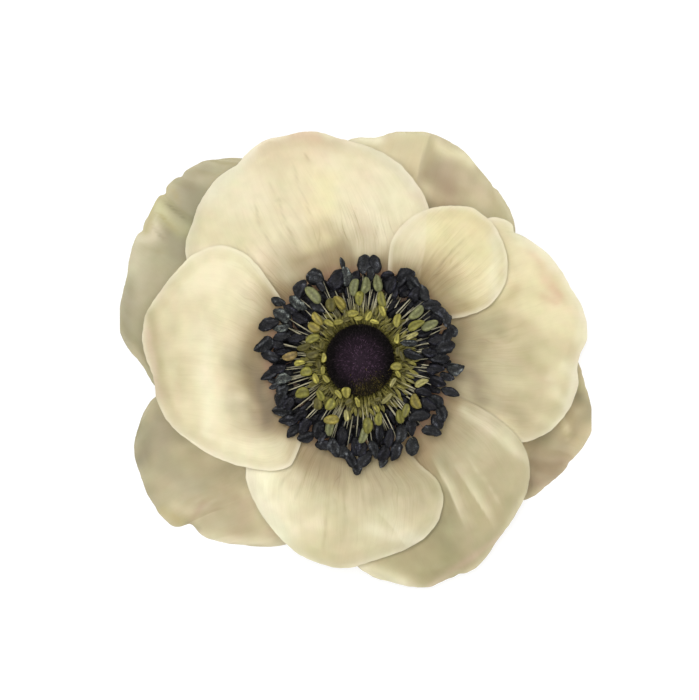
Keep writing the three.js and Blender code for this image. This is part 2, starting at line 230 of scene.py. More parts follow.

# Directions are degrees from +X. An outline runs counter-clockwise from the base corner at
# direction - half to the one at direction + half, and a nick pulls it in: x, y, width, depth. The
# sides turn up by cup, one side more than the other by tilt. The rim stands out by grow, droops by
# droop and ripples by wave: height and number of waves. corner is the part of the outline's length
# that is each side, and shade holds the radii from the brown and painted shade near the stamens to the
# petal's own colour. rim and veins say how strongly the painted highlight on the rim and the veins
# show. Lines run from x, y to x, y:
# - a fold is a soft ridge, or a trough if its height is negative: width, height
# - a stroke tints the blade along it: width, colour, strength. Besides the tissue's own tints, strokes
#   paint shade near the stamens and in fold hollows, shadows beside overlying rims, highlights on folds
#   and rims, and light that lifts the shade under overlying rims
# - a crease is a stroke that narrows and fades at its ends: width, colour, strength
# - a panel tints only what lies to the left of it: reach, colour, strength. Panels are painted light:
#   highlights on the lit sides of folds, and light seen through a thin petal
PETALS = {
    "petal_back_lower_left": dict(
        direction=216, half=26, grow=0.28, heights=BACK_HEIGHTS, cup=1.0, color=(176, 166, 133),
        wave=(0.14, 5), veins=0.5,
        outline=[
            (-15, -4.6), (-26, -6), (-32.5, -5.9), (-35.2, -7), (-37.2, -11.2), (-38.1, -15.5),
            (-36.8, -20), (-35.1, -24), (-31.6, -28), (-28.8, -28.1), (-25.5, -30.1), (-20, -31.1),
            (-13, -31.1), (-8, -28), (-5, -21), (-2.8, -12)],
        nicks=[(-28.9, -28.3, 1.3, 0.5)],
        folds=[
            (-21, -20, -29, -28, 2.2, 0.5), (-25, -13, -36, -17, 3.5, 0.45),
            (-24, -22, -30, -25.5, 1.0, -0.35)],
        strokes=[
            (-36, -12, -31, -27, 4.0, GREY, 0.3), (-22, -24, -14, -29, 4.5, (190, 174, 144), 0.4),
            (-37.3, -10, -36.8, -15.5, 2.0, (140, 134, 104), 0.65),
            (-33, -18, -28, -21, 2.2, (154, 147, 117), 0.6),
            (-37, -21, -34.8, -26, 1.3, (140, 133, 102), 0.7), (-31.5, -25.6, -28, -26.8, 1.2, SAND, 0.3),
            (-33, -13.5, -32, -17, 1.8, (154, 146, 116), 0.55),
            (-38.2, -11, -37.6, -18, 1.5, (112, 106, 78), 0.8),
            (-35, -9, -34, -14, 2.0, (150, 142, 114), 0.5),
            # painted light that lifts the shade under the left and bottom petals' rims, here and on the
            # next line
            (-27, -14.6, -16, -19, 2.0, (226, 214, 180), 0.7),
            (-18.5, -22, -14.5, -29, 1.8, (222, 210, 176), 0.7),
            (-27, -30.5, -12, -31.5, 1.6, (208, 198, 166), 0.7), (-33.5, -26, -29, -28.2, 0.9, OLIVE_AND_SHADE, 0.6),
            (-37, -9, -38.2, -15, 1.6, GREY, 0.4), (-28.9, -27.6, -26.5, -24.5, 0.5, MAUVE, 0.5),
            # painted shade in the notch's fold
            (-29.4, -27.8, -27.6, -28.6, 0.7, (126, 120, 90), 0.6)]),
    "petal_back_upper_left": dict(
        direction=146, half=26, grow=0.22, heights=BACK_HEIGHTS, cup=0.4, color=(164, 158, 126),
        wave=(0.16, 6), veins=0.5,
        outline=[
            (-3.2, 12), (-6, 22), (-9.5, 30), (-15, 33.6), (-20.5, 34), (-26, 33.6), (-30, 31.6),
            (-33.5, 28.4), (-35.8, 24.3), (-38.3, 19.6), (-39.4, 14), (-40.8, 7.3), (-39.7, 3), (-36.6, -1),
            (-34.2, -4.4), (-27, -3.6), (-14, -1.2)],
        nicks=[(-33.4, 28.5, 0.7, 0.7), (-36.9, 22.0, 0.6, 0.55), (-30.4, 31.4, 0.6, 0.45)],
        folds=[
            (-27, 21, -35, 26, 1.8, 0.45), (-30, 10, -39, 12, 3.0, 0.3), (-28, 24, -33, 30, 1.2, -0.35),
            (-31, 16, -37.5, 19, 1.3, -0.25)],
        strokes=[
            (-35, 25.5, -30, 22.5, 2.0, (200, 196, 152), 0.7),
            # painted shadow of the top petal
            (-28.6, 28.5, -27, 20, 2.4, (138, 134, 104), 0.7),
            (-28, 32, -21, 31, 3.0, (196, 186, 156), 0.45),
            (-38.4, 11.5, -36.4, 22, 1.8, (206, 199, 172), 0.5),
            (-36, 21.5, -34.8, 24, 1.4, (214, 207, 178), 0.5),
            (-33.6, 28, -32.4, 29.2, 1.2, (172, 164, 128), 0.4),
            (-30.5, 31.6, -27.5, 33.6, 1.0, (172, 164, 128), 0.35),
            (-27.5, 26.5, -29, 29, 1.6, (160, 152, 116), 0.25),
            (-39.8, 3, -39.6, 12, 1.5, (146, 140, 114), 0.75),
            (-32, 21, -30.5, 18, 1.7, (138, 134, 104), 0.7), (-30, 31, -26, 33, 1.2, (144, 138, 108), 0.6),
            (-31, 29, -27, 27, 1.6, (148, 142, 114), 0.4), (-33.6, 28.6, -36.8, 22, 0.7, OLIVE_AND_SHADE, 0.7),
            (-34, 8, -33, 18, 3.0, GREY, 0.35)],
        creases=[
            (-33.8, 27.6, -29.5, 23.5, 0.3, (104, 98, 62), 0.55),
            (-34.6, 25.2, -30.5, 21.5, 0.28, OLIVE_AND_SHADE, 0.6), (-32, 29.8, -30.5, 26, 0.3, OLIVE_AND_SHADE, 0.5),
            (-35.6, 23.2, -33, 20, 0.3, (120, 114, 80), 0.45)]),
    "petal_back_upper_right": dict(
        direction=63, half=26, grow=0.28, heights=BACK_HEIGHTS, cup=1.0, color=(171, 158, 126),
        wave=(0.12, 5), veins=0.4,
        outline=[
            (11, 6.3), (19, 11), (24.5, 16.5), (26.1, 21.8), (24.3, 27), (20.5, 31.7), (17.2, 35.4),
            (12.8, 37.9), (8, 38.8), (3, 37.6), (-2.2, 36.8), (-4.6, 31), (-4, 20), (-2.2, 10.5)],
        nicks=[(22.5, 29.3, 0.8, 0.25)],
        folds=[(8, 26, 11.8, 38, 1.8, 0.4), (14, 25, 19, 33, 2.0, -0.3), (17, 20, 25, 25, 2.2, 0.3)],
        # painted light on the lit side of the fold
        panels=[(7.8, 22, 13.7, 46, 5, (204, 194, 156), 0.75)],
        strokes=[
            (1, 36, 8, 37, 3.4, (202, 192, 156), 0.8), (-1.5, 37, 3, 37.8, 1.1, (232, 224, 192), 0.7),
            (13, 31, 16, 27, 2.6, (156, 138, 114), 0.6), (18, 30, 20.5, 26.5, 1.6, (200, 188, 154), 0.4),
            # the first stroke here is painted light that lifts the top petal's shadow
            (4, 35, 11, 28.5, 1.3, (226, 216, 182), 0.7), (13, 36.5, 18, 33.6, 1.4, (218, 209, 172), 0.7),
            # the first stroke here is painted light that lifts the upper right petal's shadow
            (13, 27.6, 20, 27, 1.2, (200, 186, 154), 0.5), (20, 24, 24, 21, 3.0, (198, 193, 158), 0.6),
            (11.5, 37, 9.8, 29, 0.6, GREY, 0.35), (21, 31, 25.5, 24, 1.3, (182, 176, 140), 0.6)]),
    "petal_back_right": dict(
        direction=-22, half=24, grow=0.25, heights=BACK_HEIGHTS, cup=1.0, color=(192, 177, 140),
        wave=(0.14, 5), veins=0.5,
        outline=[
            (6.5, -10.5), (13, -18), (20.5, -23.2), (27.6, -23.6), (32.9, -20.1), (36.8, -15.8),
            (39.1, -12), (39.2, -8.8), (38, -4.5), (36.4, 0.2), (31, 3), (21, 3.4), (12, 2.2)],
        nicks=[(35.4, -17.3, 0.8, 0.3)],
        folds=[(33.5, -6.5, 35.8, -13, 1.0, 0.45), (29, -17, 36, -16.5, 1.4, 0.3)],
        strokes=[
            (27, -17, 34, -17, 3.4, (158, 140, 110), 0.6),
            (34.5, -7, 36.2, -4.6, 1.2, (214, 206, 170), 0.8),
            (37.4, -5.5, 38.5, -10, 1.5, (138, 130, 96), 0.9),
            (30.8, -14.2, 34, -16, 1.8, (152, 140, 106), 0.65),
            # painted light that lifts the shade under the right petal's rim
            (27.2, -15.6, 29, -18.5, 2.0, (216, 204, 166), 0.6),
            (23.5, -17, 26.5, -18.6, 1.6, (214, 204, 168), 0.4),
            (30.2, -17, 33, -19, 2.2, (140, 122, 94), 0.7), (37, -11, 34, -15.5, 1.5, (150, 140, 106), 0.6),
            (35.2, -2, 36.6, -4, 0.9, MOSS, 0.6), (27.5, -21.8, 32.5, -20.2, 1.8, (142, 124, 96), 0.7),
            (31, -13, 36, -15, 1.4, GREY, 0.3)],
        # painted highlight along a fold
        creases=[(33.4, -7.5, 35.4, -14, 0.6, (226, 218, 178), 0.6)]),
    "petal_top": dict(
        direction=108, half=24, heights=SPREAD_HEIGHTS, cup=0.6, color=CREAM, wave=(0.12, 5), veins=1.0,
        droop=0.5,
        outline=[
            (4.5, 10.5), (9.4, 16), (11.9, 22), (10.9, 27.3), (7, 32.7), (2.2, 35.7), (-3, 37.3),
            (-8, 38.6), (-12.8, 37.9), (-16.9, 36.7), (-20.8, 33.3), (-25.3, 29.4), (-28.3, 23.3),
            (-29.4, 17.5), (-26, 11), (-15, 6)],
        nicks=[(-20.9, 33.4, 1.0, 0.2)],
        folds=[
            (-9, 17, -17, 33, 2.6, 0.3), (-3, 20, -4, 34, 3.0, -0.18), (-18, 17, -27, 22, 2.4, -0.25),
            (4, 22, 6, 32, 3.0, 0.2)],
        # The brown and shade strokes here are painted shade, partly the tissue's own brown near the
        # stamens, and the light strokes are painted highlights and light over shade; the rose and pink ones
        # are the tissue's own tint.
        strokes=[
            (-15, 36, -4, 37, 2.6, (208, 190, 160), 0.65), (-13.5, 32, -12, 34, 1.6, (212, 194, 164), 0.3),
            (-27, 21.5, -20, 20.5, 2.6, (204, 202, 156), 0.4), (-26, 18.6, -18, 17, 1.8, PAINTED_LIGHT, 0.3),
            (-7, 20.5, -6, 30, 2.6, (232, 221, 168), 0.4), (-11.5, 16.5, -4, 18.5, 3.0, BROWN_AND_SHADE, 0.6),
            (-4, 19, 1, 19.5, 2.0, BROWN_AND_SHADE, 0.15), (-20.5, 31, -17, 26, 2.6, PAINTED_LIGHT, 0.35),
            (-25, 28.6, -19, 34.4, 1.6, PAINTED_LIGHT, 0.75), (4.5, 27, 8.5, 25, 2.6, SHADE, 0.2),
            (-24.6, 27.4, -21.6, 26, 2.0, PAINTED_LIGHT, 0.35), (3.5, 34.4, 9.5, 29.5, 1.3, PAINTED_LIGHT, 0.4),
            (-5, 33.5, -3, 31.5, 2.4, PAINTED_LIGHT, 0.25), (-11.5, 37.6, -7, 38, 1.2, ROSE, 0.5),
            (0, 24, 2, 22, 2.4, PAINTED_LIGHT, 0.55), (10, 22, 9.5, 29, 1.2, PAINTED_LIGHT, 0.4),
            (-14, 17.5, -12, 14, 1.6, PAINTED_LIGHT, 0.3), (2, 22, 5, 30, 4.5, PAINTED_LIGHT, 0.4)],
        creases=[
            (-17.9, 27.4, -16.6, 21, 0.24, VEIN, 0.32), (-16.9, 22.4, -11.6, 13.9, 0.2, VEIN, 0.36),
            (-15.2, 30.1, -13.2, 24.6, 0.24, VEIN, 0.36), (-13.5, 25.8, -9.3, 15.3, 0.2, VEIN, 0.36),
            (-11.6, 33.7, -10.5, 29.4, 0.24, VEIN, 0.32), (-10.7, 30.6, -6.6, 19.7, 0.2, VEIN, 0.28),
            (-9.2, 35, -8.4, 33, 0.24, VEIN, 0.4), (-15, 26.5, -12.8, 27.2, 0.24, VEIN, 0.24),
            (-13.6, 22.6, -11.4, 24.4, 0.2, VEIN, 0.24), (-19.5, 19.5, -15, 13.5, 0.24, VEIN, 0.24),
            (-5.6, 24, -4, 15.5, 0.24, VEIN, 0.32), (-2.9, 23, -2.4, 16.5, 0.24, VEIN, 0.32),
            (-0.8, 26, -0.6, 17, 0.2, VEIN, 0.24), (3.2, 24, 2.2, 17.5, 0.2, VEIN, 0.24)]),
    "petal_right": dict(
        direction=10, half=17, grow=0.15, corner=0.3, heights=SPREAD_HEIGHTS, cup=0.6, color=BUTTER,
        wave=(0.12, 6), veins=0.7, droop=0.4,
        outline=[
            (11.5, -6), (19, -11.5), (26, -13.8), (31, -12.4), (34.8, -8.8), (36.7, -4.3), (36.6, -0.6),
            (38.2, 3.6), (37.5, 8.6), (35.4, 12.3), (32.7, 16.6), (29.5, 19.5), (26.6, 21.2), (25.4, 23),
            (22, 23.8), (17, 20.5), (11.5, 13.5), (8, 8)],
        nicks=[(26.0, 21.6, 0.8, 0.5), (37.2, 1.4, 0.9, 0.15)],
        folds=[
            (22, 7, 35, 10, 2.0, 0.35), (20, 2, 35, 2, 2.2, -0.3), (24, -4, 34.5, -6.5, 1.6, 0.32),
            (24, -9, 30, -10.5, 1.6, -0.2), (26, 14, 31, 17, 1.6, -0.2)],
        # Near the stamens the dark brown and olive strokes are painted shade of the stamens and partly the
        # tissue's own tint, the shade and darker cream strokes are painted shade, the olive stroke below
        # the upper right petal and the thin one beside its rim are painted shadow, the light strokes are
        # painted highlights, and the rose ones are the tissue's own tint.
        strokes=[
            (17, 4, 26, 5.5, 3.4, SHADE, 0.7), (22, 1, 29, 0.5, 2.8, SHADE, 0.7),
            (18, -5, 26, -6, 3.4, SHADE, 0.9), (16.5, -7.6, 19.5, -9.4, 1.5, (150, 138, 104), 0.5),
            (29, 2.5, 35.5, 1.8, 2.3, SHADE, 0.55), (21.5, -6.5, 26.5, -9.6, 1.8, (170, 158, 124), 0.6),
            (22, -2.5, 28, -1, 2.2, (178, 167, 130), 0.6), (24, -8.5, 29.5, -11, 2.0, (174, 162, 126), 0.6),
            (30, -3, 34, -4.5, 1.8, SHADE, 0.4), (30, -7.5, 33, -8.5, 1.6, SHADE, 0.5),
            (19, 5.6, 23, 5.6, 1.8, (160, 150, 112), 0.75), (30.5, 15.5, 31.5, 14, 1.2, ROSE, 0.5),
            (32.5, 12.5, 33.5, 11, 0.9, ROSE, 0.6), (28.8, 17.8, 29.6, 16.6, 0.8, ROSE, 0.4),
            (31, 10.6, 33, 9.6, 0.7, ROSE, 0.4), (31.5, -3.2, 34.2, -6.6, 0.9, PAINTED_LIGHT, 0.3),
            (36.4, -2, 35, -8, 0.7, PAINTED_LIGHT, 0.6), (23.6, 21.8, 25.7, 15.5, 0.9, (188, 180, 140), 0.35),
            (28, 19.4, 32, 15.6, 1.2, PAINTED_LIGHT, 0.4), (37, 9.5, 37, 4, 1.2, PAINTED_LIGHT, 0.35),
            (34.6, -0.8, 36.4, -3, 1.2, PAINTED_LIGHT, 0.45), (20, -10.8, 26, -12.8, 1.2, PAINTED_LIGHT, 0.35),
            (27.5, 10.5, 33, 12, 2.6, SHADE, 0.22), (27, 1, 30, -1, 1.2, MOSS, 0.2),
            (16.8, 6.5, 18, 1.5, 2.8, (138, 122, 82), 0.95), (22.5, 8.6, 25.5, 11, 1.6, OLIVE_AND_SHADE, 0.55),
            (18.2, -3, 20, -5.5, 1.7, (146, 132, 98), 0.85)],
        creases=[
            (17.5, -3.5, 27, -7.5, 0.3, VEIN, 0.3), (18, 1, 26, 0.4, 0.3, VEIN, 0.25),
            (17.5, 3.6, 25, 5.4, 0.3, VEIN, 0.25), (17, -5.6, 23, -9.5, 0.3, VEIN, 0.3),
            (27, -1.5, 33, -4.5, 0.5, (200, 188, 150), 0.5)]),
    "petal_lower_right": dict(
        direction=-56, half=21, heights=[7.5, 8.73, 9.0, 8.95, 7.3, 4.9], cup=0.6, tilt=0.5,
        color=(183, 173, 137), wave=(0.12, 6), veins=0.6, droop=0.4, rim=0.1,
        outline=[
            (0.8, -12), (-1.3, -22), (-2.6, -31), (0, -35.2), (5, -37.4), (11.2, -38.5), (14.5, -37.1),
            (19.5, -35.2), (23.5, -30), (27.4, -24), (28.6, -18.5), (27.2, -14), (23, -9.7), (18, -6.9),
            (11.5, -4.4)],
        nicks=[(16.8, -36.5, 0.8, 0.2)],
        folds=[
            (12.4, -14.5, 17.4, -27.5, 1.3, 0.28), (16.2, -17.5, 22.6, -28, 1.2, 0.25),
            (14.4, -17, 19.4, -28, 1.0, -0.2), (9, -24, 13, -35, 2.6, -0.45)],
        # painted highlights on the lit sides of the folds
        panels=[(11.4, -15, 17.8, -29.5, 2.6, PAINTED_LIGHT, 0.5), (15.4, -17, 22.8, -29.5, 2.4, PAINTED_LIGHT, 0.45)],
        # Dark strokes in the fold hollows and the one beside the bottom petal's rim are painted shade and
        # painted shadow, the brown ones near the stamens painted shade and partly the tissue's own tint,
        # and the light and pale strokes along the rims painted highlights; the pink one is the tissue's own
        # tint.
        strokes=[
            (8, -27, 13, -35, 4.0, (164, 156, 118), 0.75),
            (1.5, -35.8, 7, -37.6, 1.5, (230, 222, 188), 0.7), (18, -8.6, 26.6, -15.5, 1.2, PAINTED_LIGHT, 0.6),
            (8, -14, 12, -19, 2.2, BROWN_AND_SHADE, 0.7), (15, -7.5, 18.5, -10.5, 1.5, BROWN_AND_SHADE, 0.5),
            (24, -29, 14.6, -36.8, 1.5, (158, 151, 118), 0.6),
            (14.6, -16.5, 14.6, -31, 1.9, (146, 138, 104), 0.6), (16.5, -26, 19.5, -32, 1.8, GREY, 0.4),
            (21, -13, 25, -21, 3.4, SAND, 0.35), (23, -18, 23.6, -25, 2.4, (170, 160, 124), 0.45),
            (24, -11.5, 28, -16.5, 1.2, (222, 212, 178), 0.5),
            (24.8, -29, 27.6, -23.5, 1.0, (216, 206, 172), 0.45),
            (16, -25.5, 17, -30, 1.2, (160, 152, 116), 0.4), (24, -29.5, 12, -38, 0.7, PINK, 0.35),
            (11, -29, 15, -33, 3.0, (152, 146, 110), 0.38), (14, -11, 20, -12, 3.0, GREY, 0.2)],
        # the first crease is painted shade beside a ridge, the second a painted highlight on a ridge
        creases=[
            (11.6, -16, 16, -28, 0.9, (160, 152, 114), 0.35), (17.8, -16, 24, -25, 0.5, PAINTED_LIGHT, 0.25),
            (13.4, -15, 18.6, -26, 0.3, VEIN, 0.3), (17, -15.5, 23, -24, 0.3, VEIN, 0.25),
            (15, -13, 22, -18, 0.3, VEIN, 0.25), (13, -19, 15, -26, 0.3, VEIN, 0.3)]),
    "petal_upper_right": dict(
        direction=46, half=16, heights=[8.35, 8.85, 9.6, 9.6, 8.4, 6.4], cup=0.6, color=(223, 211, 165),
        wave=(0.08, 4), veins=0.9, droop=0.5,
        outline=[
            (10.5, 4.8), (14.5, 6.7), (18, 7.4), (21.3, 8.9), (23.8, 11.7), (24.8, 15.5), (24.1, 19.5),
            (22.2, 23), (19, 25.5), (15, 25.9), (11, 25.2), (7.5, 23.1), (5.3, 20), (4.7, 16), (4.6, 11)],
        folds=[(9, 13, 14, 24, 2.0, 0.2), (13, 9, 23, 17, 2.2, -0.15)],
        # painted light seen through the thin petal where the top petal lies under it
        panels=[(10, 8, 12.4, 36, 8, (232, 220, 192), 0.36)],
        # the light strokes are painted highlights, and the brown one is painted shade of the stamens and
        # partly the tissue's own tint
        strokes=[
            (6, 19, 10, 24, 2.4, PAINTED_LIGHT, 0.35), (22.2, 11, 23, 21, 1.6, PAINTED_LIGHT, 0.55),
            (13, 13, 16, 19, 2.2, OLIVE_AND_SHADE, 0.1), (13.5, 10, 17.5, 8.6, 1.8, BROWN_AND_SHADE, 0.5)],
        creases=[
            (11.4, 13.2, 17.6, 20.8, 0.28, VEIN, 0.4), (10, 14, 13.5, 19.5, 0.26, VEIN, 0.3),
            (12.4, 12.8, 20, 19, 0.26, VEIN, 0.25), (8.4, 13.5, 9.8, 19, 0.26, VEIN, 0.3),
            (13.6, 11.4, 20.5, 14.4, 0.26, VEIN, 0.2)]),
    "petal_bottom": dict(
        direction=-101, half=20, heights=[8.5, 9.58, 9.95, 10.1, 8.6, 6.6], cup=0.5, tilt=0.4,
        color=(211, 201, 164), wave=(0.08, 5), veins=0.9, shade=(15.5, 26), droop=0.45, rim=0.35,
        outline=[
            (-9.5, -9), (-16.5, -14), (-19.2, -18.3), (-18, -23.2), (-15.1, -28), (-11, -32.1),
            (-6.8, -34.2), (-2.2, -35), (3, -33.5), (8.5, -31.4), (12.5, -28), (13.9, -24), (13.1, -20.4),
            (9.8, -17.2), (4.8, -11)],
        folds=[
            (-4.5, -21, -5, -34, 1.4, -0.3), (-12, -20, -13.5, -30, 2.6, 0.3), (3, -25, 9, -32, 1.4, 0.3),
            (4, -18, 12, -26, 2.0, -0.2)],
        # painted highlight along a fold
        panels=[(2, -24, 9.6, -34, 3.6, PAINTED_LIGHT, 0.4)],
        # The near-white stroke on the left and the light strokes are painted light, partly lifting the left
        # petal's shade; the brown strokes near the stamens are painted shade and partly the tissue's own
        # tint; the darker cream strokes over the right part are painted shade.
        strokes=[
            (-17.5, -19, -13, -29, 3.6, (248, 242, 208), 0.95),
            (-8.5, -16.4, -2.5, -17.6, 2.1, BROWN_AND_SHADE, 0.75), (-6, -17, -3, -18.2, 1.6, (136, 118, 80), 0.5),
            (0, -19.5, 4, -20, 1.6, (164, 152, 116), 0.4),
            (4.5, -24.5, 6.6, -28, 1.4, (188, 178, 142), 0.4), (-13.5, -17.4, -11, -19.6, 1.5, PAINTED_LIGHT, 0.35),
            (-2, -15.4, 2, -15.6, 1.8, BROWN_AND_SHADE, 0.75), (5, -15.6, 9, -17.4, 1.6, BROWN_AND_SHADE, 0.8),
            (9, -17.8, 12.4, -20.4, 1.4, (176, 164, 126), 0.6), (-3.5, -24, -4, -34, 2.4, GREY, 0.28),
            (-1, -18, 11, -20.5, 3.4, (172, 160, 124), 0.75),
            (3.5, -22.2, 9, -24, 2.4, (178, 167, 130), 0.7), (1.5, -28, 10, -30, 1.5, PAINTED_LIGHT, 0.6),
            (-11.5, -31, -3, -34, 1.5, (196, 186, 148), 0.5), (-13, -27, -8, -28, 1.8, PAINTED_LIGHT, 0.4),
            (-7, -20, -6, -25, 3.0, GREY, 0.2)],
        creases=[
            (-4.8, -18, -5.7, -25.1, 0.3, VEIN, 0.35), (-5.6, -24.4, -6.2, -32, 0.3, VEIN, 0.35),
            (-8.6, -17.5, -11.4, -24.4, 0.3, VEIN, 0.35), (-6.8, -17.8, -8.4, -24, 0.3, VEIN, 0.3),
            (-2.4, -18.5, -2.6, -27, 0.3, VEIN, 0.35), (0, -18, 1, -26.5, 0.3, VEIN, 0.3),
            (3, -17, 5.4, -23, 0.3, VEIN, 0.25), (-10.6, -16.8, -13.8, -22, 0.3, VEIN, 0.3)]),
    "petal_left": dict(
        direction=180, half=24, heights=[8.5, 10.3, 10.6, 10.9, 9.8, 7.8], cup=0.4, tilt=0.5, color=BUTTER,
        wave=(0.08, 6), veins=0.5, shade=(17, 23), droop=0.45,
        outline=[
            (-11, 7.5), (-14.6, 12.3), (-17.6, 16.3), (-20.5, 18.5), (-24, 19.2), (-28, 17.7),
            (-31.5, 14.2), (-34.6, 10.1), (-36.2, 7), (-36.4, 2), (-34.9, -2.5), (-34, -7), (-32, -10.7),
            (-27.5, -14.4), (-22, -17.2), (-15.5, -18.5), (-11.9, -17.9), (-10.5, -15.5), (-8.3, -9.5)],
        folds=[
            (-26, 8, -25.5, -12, 2.6, 0.35), (-18, 6, -17.5, -9, 2.4, -0.35),
            (-31, 4, -30.5, -8, 1.6, -0.25)],
        # The dark brown strokes near the stamens are painted shade of the stamens and partly the tissue's
        # own tint, the shade strokes and the grey band inside the left rim are painted shade, and the light
        # strokes are painted light; the pink one is the tissue's own tint.
        strokes=[
            (-16.7, -3, -15.4, -9, 2.5, (104, 88, 58), 0.85),
            (-20.2, 0, -18.4, -5, 2.2, (120, 105, 74), 0.6), (-31, -9, -27, -12, 2.0, SHADE, 0.25),
            (-26.5, 5, -25.5, -12, 1.8, PAINTED_LIGHT, 0.5), (-34.4, 7, -33.2, -6, 2.7, (186, 175, 138), 0.85),
            (-29, 0, -29, -6, 1.8, SHADE, 0.2), (-18.8, -5, -18, -10, 3.0, BROWN_AND_SHADE, 0.35),
            (-23.5, -7.6, -21, -7.2, 1.8, PAINTED_LIGHT, 0.35),
            (-19.8, -8.6, -18.8, -10.2, 1.7, (124, 108, 76), 0.45), (-31, 12, -28, 9, 3.0, SHADE, 0.25),
            (-26.4, 6, -25, 1, 2.6, SHADE, 0.2), (-31.8, 3, -31.5, -4, 1.6, SHADE, 0.3),
            (-19.5, 12, -19.5, 9, 1.6, PAINTED_LIGHT, 0.25), (-35.8, 4, -33.8, -6, 0.9, PINK, 0.4),
            (-22, 16, -28, 12, 2.6, PAINTED_LIGHT, 0.3), (-15, -15, -22, -15, 2.0, PAINTED_LIGHT, 0.3)]),
}

# The rims that the stamens grow from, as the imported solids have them
COLUMN_TOP = 9.4
GAP = 0.3
DARK_DISC = dict(radius=6.8, bottom=COLUMN_TOP + GAP, thickness=1.3)
GREEN_DISC = dict(radius=6.1, bottom=COLUMN_TOP + 1.3 + 2 * GAP, thickness=1.1)
DISC_EDGE = 0.35
DISC_SIDES = 64

# The two kinds of stamens. The middle of an anther is at height at this radius, falls by slope for each
# mm farther out, and is up to rise higher or lower. Its filament turns up after reach, a part of the
# way out, and arches up to crest over its end. bulk widens the anther, its groove shade is the strength
# of the painted shade in its grooves, on its flanks and in its creases, gleam is the strength of the
# painted highlights on its ridges and along its lobes, wrinkle is the depth of its folds, and it is the
# blunter the lower pointed is.
DARK_KIND = dict(
    disc=DARK_DISC, radius=12, height=14.7, slope=0.34, rise=0.35, reach=0.35, crest=1.2,
    bulk=1.1, groove_shade=0.7, gleam=6.5, wrinkle=0.17, pointed=0.64)
GREEN_KIND = dict(
    disc=GREEN_DISC, radius=9, height=16.7, slope=0.12, rise=0.3, reach=0.2, crest=0.5,
    bulk=1.0, groove_shade=0.5, gleam=0.9, wrinkle=0.04, pointed=0.5)

# Anthers are drawn a little longer than the tables say. Their depth is a part of their width, they
# droop and roll by up to so many degrees, and differ in lightness. A pod is blunt at its ends, tapers
# and bends, and its lobes pinch a groove between them. A stripe of painted highlight runs along each
# lobe, at this place and of this width across it. Wrinkles have a size and a length, and are longer
# along the pod. Last, rings and sides of anthers that show and that don't.
ANTHER_STRETCH = 1.05
ANTHER_DEPTH = (0.6, 0.75)
ANTHER_DROOP = (-6, 16)
ANTHER_ROLL = (-28, 28)
SEEN_SHADES = (0.85, 1.15)
HIDDEN_SHADES = (0.8, 1.2)
BLUNTNESS = 2.2
TAPER = (-0.3, 0.2)
BEND = 0.2
LOBE_PINCH = 0.28
GROOVE_WIDTH = 0.26
GROOVE_DEPTH = 0.55
# place across the pod and width of the stripe of painted highlight along each lobe
HIGHLIGHT_STRIPE_PLACE = 0.62
HIGHLIGHT_STRIPE_WIDTH = 0.11
WRINKLES = ((0.6, 0.9), (0.45, 0.4))
WRINKLE_STRETCH = 0.45
SEEN_DETAIL = (17, 24)
HIDDEN_DETAIL = (9, 12)

# Filaments: depth of their roots in the disc, how far behind its middle they meet an anther as a part
# of its length, how far they sway, thickness at the root and at the tip as parts of the radius, how
# they differ in height, thickness and lightness, and colours near the head and far from it
FILAMENT_ROOT_DEPTH = 0.5
FILAMENT_HOLD = 0.38
FILAMENT_SWAY = 0.35
FILAMENT_HEIGHTS = (0.6, 1.2)
FILAMENT_SIZES = (0.8, 1.2)
FILAMENT_SHADES = (0.65, 1.3)
FILAMENT_RADIUS = 0.125
FILAMENT_ROOT = 1.35
FILAMENT_TIP = 0.45
FILAMENT_STEPS = 10
FILAMENT_SIDES = 7
FILAMENT_NEAR = (138, 131, 70)
FILAMENT_FAR = (188, 182, 154)
FILAMENT_RADII = (7, 10.5)

# Tones of the anthers. The dark ones' run from 0, blue-black, to 1, slate.
BLUE_BLACK = (31, 31, 36)
SLATE = (88, 93, 86)
ANTHER_TONES = {
    "sage": (122, 124, 86), "green": (132, 128, 60), "yellow": (158, 150, 74), "gold": (138, 126, 60),
    "olive": (94, 88, 42), "base": (132, 125, 64), "pale": (158, 151, 98), "ochre": (136, 116, 72)}

# Stamens too deep in the crown to be seen singly, which close it between and below the others. Their
# anthers stray by spread round the radius and by rise round the height, and their colour is scaled as
# painted shade and light: much darker for the dark ones deep in the crown, a little lighter for the
# green ones.
DARK_HIDDEN = dict(
    count=175, radius=11.6, spread=2.6, height=12.2, rise=0.8, length=2.9, width=1.6, tone=0.0, shade_scale=0.5)
GREEN_HIDDEN = dict(
    count=140, radius=8.1, spread=1.3, height=14.2, rise=0.4, length=1.6, width=0.55, tone="base",
    shade_scale=1.05)

